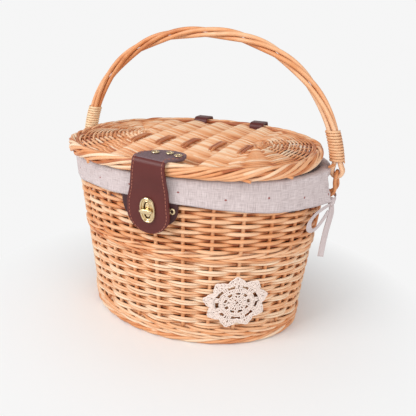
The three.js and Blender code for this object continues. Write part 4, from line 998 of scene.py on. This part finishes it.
EAR_HALF = 11.0
EAR_TURN_Z = 194
EAR_LEG_Z = (136, 152, 168)
EAR_LEG_TOP = 182
EAR_IN = 1.1
for name, side in SIDES:
    legs = []
    for y in (EAR_Y - EAR_HALF, EAR_Y + EAR_HALF):
        points = []
        for z in EAR_LEG_Z:
            hx, hy = wall_half(z)
            points.append([side * oval_reach(y, hy - EAR_IN, hx - EAR_IN, OVAL_POWER), y, z])
        legs.append(points + [[side * EYE_X, y, EAR_LEG_TOP]])
    bends = np.linspace(0, math.pi, 9)
    turned = [[EAR_Y - EAR_HALF * math.cos(a), EAR_TURN_Z + EAR_HALF * math.sin(a)] for a in bends]
    arc = [[side * EYE_X, y, z] for y, z in turned]
    ear = rod(smooth_path(legs[0] + arc + legs[1][::-1], 5), 2.2, 0.82, sides=12)
    woven("ear_" + name + "_rod", [ear], "basket", willow, ["ear_" + name])

# %% [markdown]
# ## Leather
# The clasp is one strap: riveted on the lid, folded over its edge and hanging over the lock. The
# leather is a smooth red-brown with a line of stitches near each edge, and rough where its back
# shows. Sheets are laid out as rows across the strap, then thickened and given a soft edge. A
# curve with a flat profile could do it too, but rows let the width change along the strap, and
# the stitches follow the same rows.

# %% Leather finish
def leather_finish(name, dark, light, smooth, dull):
    material, tree, shader = new_finish(name, light, smooth)
    cloudy = clouded(tree, shader, 30, 3, dark, light)
    pebble = node(tree, "ShaderNodeTexVoronoi", Scale=900, feature="DISTANCE_TO_EDGE")
    tree.links.new(node(tree, "ShaderNodeTexCoord").outputs["Object"], pebble.inputs["Vector"])
    bump(tree, shader, pebble.outputs["Distance"], 0.25, 0.0002)
    wear_and_painted_light = ramp(tree, cloudy, [(0, (smooth,) * 3), (1, (dull,) * 3)])
    tree.links.new(wear_and_painted_light, shader.inputs["Roughness"])
    shader.inputs["Specular IOR Level"].default_value = 0.28
    return material


leather = leather_finish("oiled_leather", (0.078, 0.0135, 0.0115), (0.132, 0.027, 0.023), 0.28, 0.46)
# painted shade: a darker copy of the leather that stands in for the shade on the wall tab
leather_in_painted_shade = leather_finish("leather_in_painted_shade", (0.042, 0.013, 0.014), (0.075, 0.026, 0.028), 0.45, 0.7)

rough_leather, tree, shader = new_finish("rough_leather", (0.17, 0.11, 0.12), 0.8)
nap = clouded(tree, shader, 420, 4, (0.10, 0.055, 0.06), (0.23, 0.15, 0.165))
bump(tree, shader, nap, 0.5, 0.0004)
thread, tree, shader = new_finish("waxed_thread", (0.62, 0.26, 0.17), 0.6)
fibres = clouded(tree, shader, 2600, 2, (0.30, 0.085, 0.05), (0.46, 0.17, 0.11))
bump(tree, shader, fibres, 0.4, 0.0001)


# %% Leather and ribbon sheets
def sheet_object(name, grid, thickness, closed=False, edge=0.5):
    """A sheet of leather or cloth: rows of points in millimetres, thickened, with soft edges."""
    rows, cols = grid.shape[:2]
    mesh = bpy.data.meshes.new(name)
    faces, uv = [], []
    along = lengths_along(grid[:, cols // 2]) * MM
    width = np.linalg.norm(grid[rows // 2, -1] - grid[rows // 2, 0]) * MM
    for r in range(rows if closed else rows - 1):
        n = (r + 1) % rows
        for c in range(cols - 1):
            faces.append((r * cols + c, r * cols + c + 1, n * cols + c + 1, n * cols + c))
            a, b = along[r], along[r] + (along[1] - along[0]) if n == 0 else along[n]
            u, v = width * c / (cols - 1), width * (c + 1) / (cols - 1)
            uv += [(a, u), (a, v), (b, v), (b, u)]
    mesh.from_pydata((grid.reshape(-1, 3) * MM).tolist(), [], faces)
    mesh.uv_layers.new(name="hide").data.foreach_set("uv", np.array(uv, np.float32).ravel())
    obj = add_to_scene(bpy.data.objects.new(name, mesh))
    apply_modifier(obj, "SOLIDIFY", thickness=thickness * MM, offset=0, use_even_offset=True)
    if edge:
        sharp = dict(limit_method="ANGLE", angle_limit=math.radians(50))
        apply_modifier(obj, "BEVEL", width=edge * MM, segments=2, **sharp)
    shade_smooth(obj.data)
    return obj


LEATHER = 3.0
STITCH_PITCH = 4.2
STITCH_LONG = 2.9
THREAD = 0.42


def stitch_rods(line, normal):
    """Stitches along a line: short bowed threads that dip into the leather at both ends."""
    lengths = lengths_along(line)
    found = []
    start = STITCH_PITCH / 2
    while start + STITCH_LONG < lengths[-1]:
        at = np.linspace(start, start + STITCH_LONG, 5)
        p = np.stack([np.interp(at, lengths, line[:, k]) for k in range(3)], -1)
        n = np.stack([np.interp(at, lengths, normal[:, k]) for k in range(3)], -1)
        rise = 0.35 * np.sin(np.linspace(0, math.pi, 5)) - 0.15
        found.append(rod(p + n * rise[:, None], THREAD, sides=5))
        start += STITCH_PITCH
    return found


def join_to(obj, parts):
    activate(obj)
    for part in parts:
        part.select_set(True)
    bpy.ops.object.join()


# %% Clasp strap and lid flap
def smooth_step(a, b, s):
    return a + (b - a) * eased(np.clip(s, 0, 1))


WALL_SLOPE = math.atan2(RIM_HALF[1] - FOOT_HALF[1], RIM_TOP)
SQUARE_TILT = math.pi / 2 + WALL_SLOPE  # tilt of what faces squarely out of the wall
LOCK_Z = 173.0
LOCK_OUT = 3.4
lock_origin = np.array([0, -float(wall_half(LOCK_Z)[1]) - LOCK_OUT, LOCK_Z])
lock_matrix = Matrix.Translation(Vector(lock_origin * MM)) @ Matrix.Rotation(SQUARE_TILT, 4, "X")
square = np.array([0, -math.cos(WALL_SLOPE), -math.sin(WALL_SLOPE)])
FOLD_Y = -138.8
FOLD_LOW = 222.4
FOLD_ROUND = 6.0
STRAP_END = 144.8
STRAP_TOP = (3.7, 36.6)  # middle and width where the strap folds over the lid's edge
STRAP_LIFT = 3.7
STRAP_ROUND = 23.32
SWING_FROM = 218.7  # between these heights the strap swings from the fold in to the wall
SWING_TO = 189
FLAP_LONG = 27.8
FLAP_HIGH = 17.4
FLAP_END = (14, 45)  # middle and width at the flap's end
# how far the strap reaches to each side of the lock at these heights
LEFT_AT = [STRAP_END, 171, 180, 188, 196, 210, FOLD_LOW]
LEFT_REACH = [26.2, 26, 25.4, 23.4, 20.4, 16.8, 14.6]
RIGHT_AT = [STRAP_END, 165, 180, 210, FOLD_LOW]
RIGHT_REACH = [25, 24.6, 24, 23, 22]


def flap_station(s):
    """Middle and width of the strap where it lies on the lid, from the fold to its end."""
    y = FOLD_Y + FOLD_ROUND + FLAP_LONG * s
    lid_top = LID_ORIGIN[2] + FLAP_HIGH + (y - LID_ORIGIN[1]) * math.tan(LID_TILT)
    z = lid_top + 1.5 * smooth_step(0, 1, 1.6 * s)
    middle = smooth_step(STRAP_TOP[0], FLAP_END[0], s / 0.65)
    round_end = math.sqrt(max(1 - max((s - 0.45) / 0.55, 0) ** 2.2, 0.03))
    width = float(smooth_step(STRAP_TOP[1], FLAP_END[1], s / 0.45))
    return [middle, y, float(z)], width * round_end


def strap_station(s):
    """Middle and width of the strap where it hangs over the lock, from the fold to its end."""
    z = FOLD_LOW + (STRAP_END - FOLD_LOW) * (1 - (1 - s) ** 1.25)
    lock_middle = lock_origin + square * STRAP_LIFT
    flat = lock_middle[1] - (z - LOCK_Z) * math.tan(WALL_SLOPE)
    y = smooth_step(FOLD_Y, flat, (SWING_FROM - z) / (SWING_FROM - SWING_TO))
    to_left = float(np.interp(z, LEFT_AT, LEFT_REACH))
    to_right = float(np.interp(z, RIGHT_AT, RIGHT_REACH))
    from_end = (z - STRAP_END) / STRAP_ROUND
    round_end = math.sqrt(max(1 - (1 - min(from_end, 1)) ** 2, 0.006))
    return [(to_right - to_left) / 2, float(y), z], (to_left + to_right) * round_end


stations = [flap_station(s) for s in np.linspace(1, 0, 16)]
first, low = stations[-1][0], strap_station(0)[0]
for a in np.linspace(0, math.pi / 2, 9)[1:-1]:
    bend_y = first[1] - FOLD_ROUND * math.sin(a)
    bend_z = low[2] + (first[2] - low[2]) * math.cos(a)
    stations.append(([STRAP_TOP[0], bend_y, bend_z], STRAP_TOP[1]))
down_strap = np.concatenate([np.linspace(0, 0.9, 28), np.linspace(0.915, 1, 9)])
stations += [strap_station(s) for s in down_strap]
across = np.linspace(-0.5, 0.5, 17)
clasp_grid = np.array([[[m[0] + w * c, m[1], m[2]] for c in across] for m, w in stations])
# the leather cups a little round the oval of the wall
cup = (clasp_grid[..., 0] - clasp_grid[:, 8:9, 0]) ** 2 / 900
hanging = smooth_step(0, 1, (226 - clasp_grid[..., 2]) / 30)
clasp_grid[..., 1] += 0.9 * cup * hanging
# the fold is a little higher at its left end
near_fold = np.exp(-((clasp_grid[..., 2] - 227) / 7) ** 2) * (clasp_grid[..., 1] < -118)
clasp_grid[..., 2] += near_fold * (1.3 - 0.075 * (clasp_grid[..., 0] + 15))
clasp = sheet_object("clasp_leather", clasp_grid, LEATHER, edge=0.6)
clasp.data.materials.append(leather)
clasp.data.materials.append(rough_leather)
for face in clasp.data.polygons:
    if face.center.y > -0.1375 and face.center.z > 0.226:
        face.material_index = 1

row_way = np.gradient(clasp_grid, axis=0)
col_way = np.gradient(clasp_grid, axis=1)
outward = unit(np.cross(row_way, col_way))
if outward[30, 8] @ square < 0:
    outward = -outward
stitches = []
for column in (1, 15):
    face_way = outward[3:-4, column]
    stitches += stitch_rods(clasp_grid[3:-4, column] + LEATHER / 2 * face_way, face_way)
seam = add_to_scene(bpy.data.objects.new("clasp_stitches", rods_mesh("clasp_stitches", stitches)))
seam.data.materials.append(thread)

# %% [markdown]
# ## Turn lock and eyelets
# The lock is three brass parts: a base plate with a raised boss on the wall, an oval plate with a
# slot on the leather, and a knob on a stem. The boss stands up through the leather into the slot,
# and the knob turns across it. The plates could be drawn as curves, but a cylinder pushed out to
# a fuller oval is quick, and a boolean cuts the slot. The eyelets are rolled rings of brass.

# %% Brass finish
brass, tree, shader = new_finish("polished_brass", (0.74, 0.58, 0.34), 0.24)
shader.inputs["Metallic"].default_value = 1.0
worn = clouded(tree, shader, 160, 4, (0.62, 0.45, 0.24), (0.84, 0.70, 0.45))
tree.links.new(maths(tree, "MULTIPLY_ADD", worn, 0.22, 0.14), shader.inputs["Roughness"])
bump(tree, shader, worn, 0.08, 0.0002)


# %% Turn lock
PLATE_HALF = (9, 14.6)
THIN_RING = 0.1


def fuller(point, half_x, half_y, power=2.35):
    """Push a point of an ellipse out to a rounder oval."""
    x, y = point.x / half_x, point.y / half_y
    long = math.hypot(x, y)
    if long < 1e-6:
        return
    grown = long / (abs(x / long) ** power + abs(y / long) ** power) ** (1 / power)
    point.x, point.y = x / long * grown * half_x, y / long * grown * half_y


def oval_plate(name, half_x, half_y, low, high, edge=0.4, sides=56):
    """An oval block from low to high above the wall, with rounded edges."""
    middle = (0, 0, (low + high) / 2 * MM)
    bpy.ops.mesh.primitive_cylinder_add(vertices=sides, radius=1, depth=1, location=middle)
    obj = bpy.context.object
    obj.name = name
    obj.scale = (half_x * MM, half_y * MM, (high - low) * MM)
    bpy.ops.object.transform_apply(location=True, rotation=True, scale=True)
    for vertex in obj.data.vertices:
        fuller(vertex.co, half_x * MM, half_y * MM)
    if edge:
        apply_modifier(obj, "BEVEL", width=edge * MM, segments=3, limit_method="ANGLE")
    return obj


def oval_bead(name, half_x, half_y, height, thick):
    """A raised bead round an oval plate, drawn out from a thin round ring."""
    ring = dict(major_segments=56, minor_segments=10, major_radius=1, minor_radius=THIN_RING)
    bpy.ops.mesh.primitive_torus_add(**ring)
    obj = bpy.context.object
    obj.name = name
    for vertex in obj.data.vertices:
        flat = Vector((vertex.co.x, vertex.co.y, 0))
        centre = flat.normalized()
        off = (flat - centre) / THIN_RING * thick
        lift = vertex.co.z / THIN_RING * thick
        fuller(centre, 1, 1)
        vertex.co = Vector((centre.x * half_x, centre.y * half_y, height + lift)) * MM + off * MM
    return obj


def settle(obj, matrix, body, replaces):
    """Put a brass piece in its place."""
    obj.data.transform(matrix)
    obj.matrix_world = Matrix.Identity(4)
    obj.data.materials.clear()
    activate(obj)
    bpy.ops.object.shade_smooth_by_angle(angle=math.radians(35))
    finish_piece(obj, body, brass, replaces)


def cut_out(obj, tool):
    apply_modifier(obj, "BOOLEAN", operation="DIFFERENCE", object=tool, solver="EXACT")


base = oval_plate("lock_base_plate", *PLATE_HALF, 0.3, 1.9)
boss = oval_plate("boss", 3.5, 8.6, 1.5, 6.4, 1.2)
join_to(base, [boss])
settle(base, lock_matrix, "basket", ["lock_base"])

plate = oval_plate("lock_oval_plate", *PLATE_HALF, 5.5, 6.8, 0.45)
bead = oval_bead("bead", 5.0, 10.4, 6.8, 0.55)
outer_bead = oval_bead("outer_bead", 7.7, 13.2, 6.7, 1.25)
slot_tool = oval_plate("slot_tool", 4.2, 9.6, -4, 12, 0)
cut_out(plate, slot_tool)
join_to(plate, [bead, outer_bead])
settle(plate, lock_matrix, "clasp", ["clasp_plate"])

stem = oval_plate("turn_stem", 2.4, 2.4, 1.7, 8.6, 0, 24)
knob = oval_plate("turn_knob_bar", 7.8, 2.7, 7.8, 11.8, 1.25)
join_to(knob, [stem])
settle(knob, lock_matrix, "turn_knob", ["turn_knob"])

slot_tool.data.transform(lock_matrix)
cut_out(clasp, slot_tool)
bpy.data.objects.remove(slot_tool)
join_to(clasp, [seam])
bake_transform(clasp)
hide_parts("clasp_strap", "lid_flap")
print("clasp leather", len(clasp.data.polygons), "faces")


# %% Ring rivets
EYELET = 1.2
RIVET_X = 25


def ring_rivet(name, body, tilt, turn, replaces, radius):
    """An eyelet: a rolled ring of brass."""
    low, high = [Vector(v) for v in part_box(replaces)]
    ring = dict(major_radius=radius * MM, minor_radius=EYELET * MM)
    bpy.ops.mesh.primitive_torus_add(major_segments=32, minor_segments=12, **ring)
    obj = bpy.context.object
    obj.name = name
    obj.scale = (1, 1, 0.62)
    bpy.ops.object.transform_apply(location=True, rotation=True, scale=True)
    way = Matrix.Rotation(turn, 4, "Z") @ Matrix.Rotation(tilt, 4, "X")
    settle(obj, Matrix.Translation((low + high) / 2) @ way, body, [replaces])


for name in ("left", "middle", "right"):
    ring_rivet("lid_eyelet_" + name, "lid", math.radians(3), 0, "lid_rivet_" + name, 3.1)
for name, side in SIDES:
    hx, hy = wall_half(LOCK_Z)
    rivet_y = oval_reach(RIVET_X, hx, hy, OVAL_POWER)
    turned = math.atan2(side * RIVET_X / hx ** 2, rivet_y / hy ** 2)
    ring_rivet("tab_eyelet_" + name, "basket", SQUARE_TILT, turned, "tab_rivet_" + name, 2.7)

# %% Leather tab and hinge loops
TAB_TOP = 182.2
TAB_LONG = 31.2
TAB_HALF = 36
TAB_OUT = 1.9
HINGE_LEATHER = 2.2
tab_rows = []
for u in np.linspace(0, 1, 15):
    z = TAB_TOP - TAB_LONG * u
    x = TAB_HALF * math.sqrt(max(1 - u ** 3, 0.03)) * np.linspace(-1, 0.87, 19)
    hx, hy = [v + TAB_OUT for v in wall_half(z)]
    tab_rows.append(np.stack([x, -oval_reach(x, hx, hy, OVAL_POWER), np.full(len(x), z)], -1))
tab = sheet_object("wall_tab_leather", np.array(tab_rows), LEATHER, edge=0.6)
# the tab takes the darker leather as painted shade
finish_piece(tab, "basket", leather_in_painted_shade, ["wall_tab"])

for name, _ in SIDES:
    low, high = [np.array(v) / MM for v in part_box("hinge_loop_" + name)]
    low, high = low + HINGE_LEATHER / 2, high - HINGE_LEATHER / 2
    middle, half = (low + high) / 2, (high - low) / 2
    ring_y, ring_z = oval(half[1], half[2], 6, 2 * math.pi * np.arange(48) / 48)
    across = np.linspace(low[0], high[0], 9)
    rows = [[[x, middle[1] + y, middle[2] + z] for x in across] for y, z in zip(ring_y, ring_z)]
    loop = sheet_object("hinge_leather_" + name, np.array(rows), HINGE_LEATHER, closed=True)
    loop.data.materials.append(leather)
    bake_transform(loop)
    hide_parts("hinge_loop_" + name)

# %% [markdown]
# ## Tie and doily
# A ribbon of the liner's cloth ties the slit shut at the right ear, with one bow loop and a
# hanging tail. The doily is crochet: rows of tall stitches between rings of chain, left open in
# two rings of holes, with nine points. It could be a flat disc with holes, but thick cotton
# throws small shadows, so every stitch is a short rod laid on the wall.

# %% Ribbon tie
RIBBON = 0.9


def ribbon_object(name, points, width, pinch=0.75, facing=(1.0, -0.25, 0.0)):
    """A ribbon along a few points, pinched at its start and slightly dished across."""
    p = smooth_path(points)
    tangent = unit(np.gradient(p, axis=0))
    outward = unit(np.array(facing))
    across = unit(np.cross(np.broadcast_to(outward, p.shape), tangent))
    s = np.linspace(0, 1, len(p))
    wide = width * (1 - (1 - pinch) * np.exp(-s * 9))
    cols = np.linspace(-0.5, 0.5, 7)
    face = unit(np.cross(across, tangent))
    grid = p[:, None] + across[:, None] * (wide[:, None] * cols[None])[..., None]
    grid = grid + face[:, None] * (0.45 * np.cos(cols * 6)[None, :, None])
    return sheet_object(name, grid, RIBBON, edge=0), p


TIE_LOOP = [
    [171.2, -8.6, 169.5], [166, -21, 168], [159.8, -35, 164], [156, -44, 157.5], [155.2, -45.5, 150.5],
    [156.8, -40.5, 145.5], [160, -32, 144.6], [163.6, -24, 149], [167.2, -17, 155.5], [170.2, -12, 162],
]
TIE_TAIL = [
    [172, -2.4, 166.1], [172.4, -2.4, 157], [171.2, -4.2, 147], [169.8, -6.5, 136],
    [168.9, -9.4, 125], [168.4, -12.6, 114.5], [168.1, -15.4, 105],
]
TIE_FRONT_ARM = [[161.3, -13.5, 175.1], [165.8, -10, 174], [171.2, -4, 171.6]]
TIE_BACK_ARM = [
    [156.6, 31.5, 175.1], [163, 29, 174.5], [169.6, 23.5, 173.8], [173.4, 15, 173],
    [173.8, 6, 172.2], [172.2, -1, 171.4],
]
KNOT = (171.5, -3.0, 171.0)
bow, bow_path = ribbon_object("tie_bow_loop", TIE_LOOP, 6.5, facing=(0.7, -0.6, -0.4))
tail, tail_path = ribbon_object("tie_hanging_tail", TIE_TAIL, 7.5, facing=(0.62, -0.78, 0.0))
front_arm, _ = ribbon_object("tie_front_arm", TIE_FRONT_ARM, 5.0, pinch=1)
back_arm, _ = ribbon_object("tie_back_arm", TIE_BACK_ARM, 5.0, pinch=1)
bpy.ops.mesh.primitive_uv_sphere_add(segments=28, ring_count=18, radius=1, location=Vector(KNOT) * MM)
knot = bpy.context.object
knot.name = "tie_knot_wrap"
knot.scale = (3.9 * MM, 5.6 * MM, 5.4 * MM)
bpy.ops.object.transform_apply(location=True, rotation=True, scale=True)
for vertex in knot.data.vertices:
    local = vertex.co / MM - Vector(KNOT)
    crease = 0.16 * math.sin(local.y * 1.6 + local.z * 0.9) + 0.1 * math.sin(local.z * 2.3)
    vertex.co += local.normalized() * crease * MM * 1.8
join_to(knot, [front_arm, back_arm])
shade_smooth(knot.data)
finish_piece(knot, "basket", linen, ["tie_knot"])
finish_piece(bow, "basket", linen, ["tie_loop"])
finish_piece(tail, "basket", linen, ["tie_tail"])


# %% Crochet doily
DOILY_ANGLE = math.radians(-52)
DOILY_Z = 62.0
DOILY_TALL = 0.94
POINTS = 9
STAR_FROM = 30  # from this radius on, the rings follow the points
# inner and outer radius of each ring, its posts, and which of the two rings of holes it has
DOILY_RINGS = (
    (1.5, 6, 9, None), (6, 11, 22, None), (11, 15.5, 36, 0), (15.5, 20, 62, None),
    (20, 25.5, 60, 1), (25.5, 31, 96, None), (31, 36.5, 108, None),
)
HOLE_SHARE = (0.52, 0.46)


def on_doily(radius, angle, out):
    radius, angle = np.broadcast_arrays(np.asarray(radius, float), np.asarray(angle, float))
    z = DOILY_Z + DOILY_TALL * radius * np.sin(angle)
    hx, hy = wall_half(z)
    speed = np.hypot(hx * math.sin(DOILY_ANGLE), hy * math.cos(DOILY_ANGLE))
    return wall(DOILY_ANGLE + radius * np.cos(angle) / speed, z, out)


def star(radius, angle):
    """How much of its radius a ring has at an angle: the inner rings are round, the outer pointed."""
    if radius <= STAR_FROM:
        return 1.0
    points = 0.905 + 0.085 * np.cos(POINTS * (angle - 0.92)) + 0.015 * np.cos(3 * POINTS * angle)
    return points + 0.02 * np.sin(2 * angle + 1)


doily_rods = []
round_angle = 2 * math.pi * np.arange(180) / 180
for low, high, posts, holes in DOILY_RINGS:
    wave = 0.3 * np.cos(posts * round_angle)
    uneven = 0.45 * np.sin(5 * round_angle + high) + 0.35 * np.sin(9 * round_angle + 2 * high)
    chain = (high + wave + uneven) * star(high, round_angle)
    lift = 2.0 + 0.15 * np.cos(posts * round_angle / 2)
    doily_rods.append(hoop(on_doily(chain, round_angle, lift), 0.85, 0.5))
    thick = min(0.98, math.pi * (low + high) / posts * 0.5)
    for k in range(posts):
        a = 2 * math.pi * (k + 0.5) / posts
        if holes is not None:
            along_hole = (a * POINTS / (2 * math.pi) + 0.5 * holes) % 1
            if along_hole < HOLE_SHARE[holes] + 0.08 * math.sin(7 * a):
                continue
        lean = rng.normal(0, 0.11) * 6 / high
        inner, outer = low * star(low, a), high * star(high, a)
        s = np.linspace(0, 1, 4)
        reach = inner + (outer - inner) * s + rng.normal(0, 0.3)
        post = on_doily(reach, a + lean * s, 1.55 + 0.5 * np.sin(math.pi * s))
        doily_rods.append(rod(post, np.array([0.75, 1, 1, 0.8]) * thick))
crochet, tree, shader = new_finish("crochet_cotton", (0.80, 0.72, 0.66), 0.9)
ply = clouded(tree, shader, 900, 2, (0.74, 0.59, 0.52), (0.96, 0.85, 0.78))
bump(tree, shader, ply, 0.6, 0.0004)
woven("crochet_doily", doily_rods, "basket", crochet, ["doily"])

# %% [markdown]
# ## Pieces kept from the measured model
# The straps at the back, their buckles and the hidden sticks and rim already have their shape.
# Making them again would add nothing, so they only get the finishes.

# %% Finishes on the kept pieces
plain_willow, tree, shader = new_finish("plain_willow", TAN, 0.55)
streak = object_noise(tree, 1, 3, (40, 40, 700))
streaky = ramp(tree, streak, [(0.3, TAN), (0.6, STRAW), (0.8, CREAM)])
tree.links.new(streaky, shader.inputs["Base Color"])
bump(tree, shader, streak, 0.3, 0.0003)
kept = {
    plain_willow: ["floor_sticks", "lid_sticks", "rim_border"],
    leather: ["bar_strap_left", "bar_strap_right"],
    brass: ["buckle_left", "buckle_right", "prong_left", "prong_right"],
}
for finish, names in kept.items():
    for name in names:
        for slot in bpy.data.objects[name].material_slots:
            slot.material = finish
print("finishes given to", sum(len(v) for v in kept.values()), "kept pieces")

# %% [markdown]
# ## Stage and light
# A pale floor and a pale background, a large soft light from the front left and a weak fill. A
# curved backdrop would hide the horizon too. Here the floor fades, for the camera only, into the
# colour of the background.

# %% Stage and lights
BACKDROP = (0.92, 0.92, 0.92, 1)
bpy.ops.mesh.primitive_plane_add(size=6, location=(0, 0, 0))
ground = bpy.context.object
ground.name = "studio_floor"
floor_paint, tree, shader = new_finish("studio_paper", (0.87, 0.87, 0.87), 0.95)
shader.inputs["Specular IOR Level"].default_value = 0.1
away = node(tree, "ShaderNodeVectorMath", operation="LENGTH")
tree.links.new(node(tree, "ShaderNodeTexCoord").outputs["Object"], away.inputs[0])
far = ramp(tree, away.outputs["Value"], [(0.15, (0, 0, 0)), (0.33, (1, 1, 1))])
seen = node(tree, "ShaderNodeLightPath").outputs["Is Camera Ray"]
plain = node(tree, "ShaderNodeEmission", Color=BACKDROP)
blended = node(tree, "ShaderNodeMixShader")
tree.links.new(maths(tree, "MULTIPLY", far, seen), blended.inputs[0])
tree.links.new(shader.outputs[0], blended.inputs[1])
tree.links.new(plain.outputs[0], blended.inputs[2])
tree.links.new(blended.outputs[0], tree.nodes["Material Output"].inputs["Surface"])
ground.data.materials.append(floor_paint)

world = bpy.data.worlds.new("studio")
bpy.context.scene.world = world
world.use_nodes = True
tree = world.node_tree
sky = tree.nodes["Background"]
sky.inputs["Color"].default_value = (1, 1, 1, 1)
sky.inputs["Strength"].default_value = 0.57
backdrop = node(tree, "ShaderNodeBackground", Color=BACKDROP)
chosen = node(tree, "ShaderNodeMixShader")
tree.links.new(node(tree, "ShaderNodeLightPath").outputs["Is Camera Ray"], chosen.inputs[0])
tree.links.new(sky.outputs[0], chosen.inputs[1])
tree.links.new(backdrop.outputs[0], chosen.inputs[2])
tree.links.new(chosen.outputs[0], tree.nodes["World Output"].inputs["Surface"])

LOOK_AT = Vector((0, 0, 0.15))
WINDOWS = (("window_left", (-0.8, -1.25, 1.15), 18, 0.9), ("window_right", (1.25, -1.0, 0.8), 10, 1.2))
for name, spot, energy, size in WINDOWS:
    lamp_data = bpy.data.lights.new(name, "AREA")
    lamp_data.energy = energy
    lamp_data.size = size
    lamp = add_to_scene(bpy.data.objects.new(name, lamp_data))
    lamp.location = spot
    lamp.rotation_euler = (LOOK_AT - Vector(spot)).to_track_quat("-Z", "Y").to_euler()
bpy.context.scene.view_settings.view_transform = "Standard"
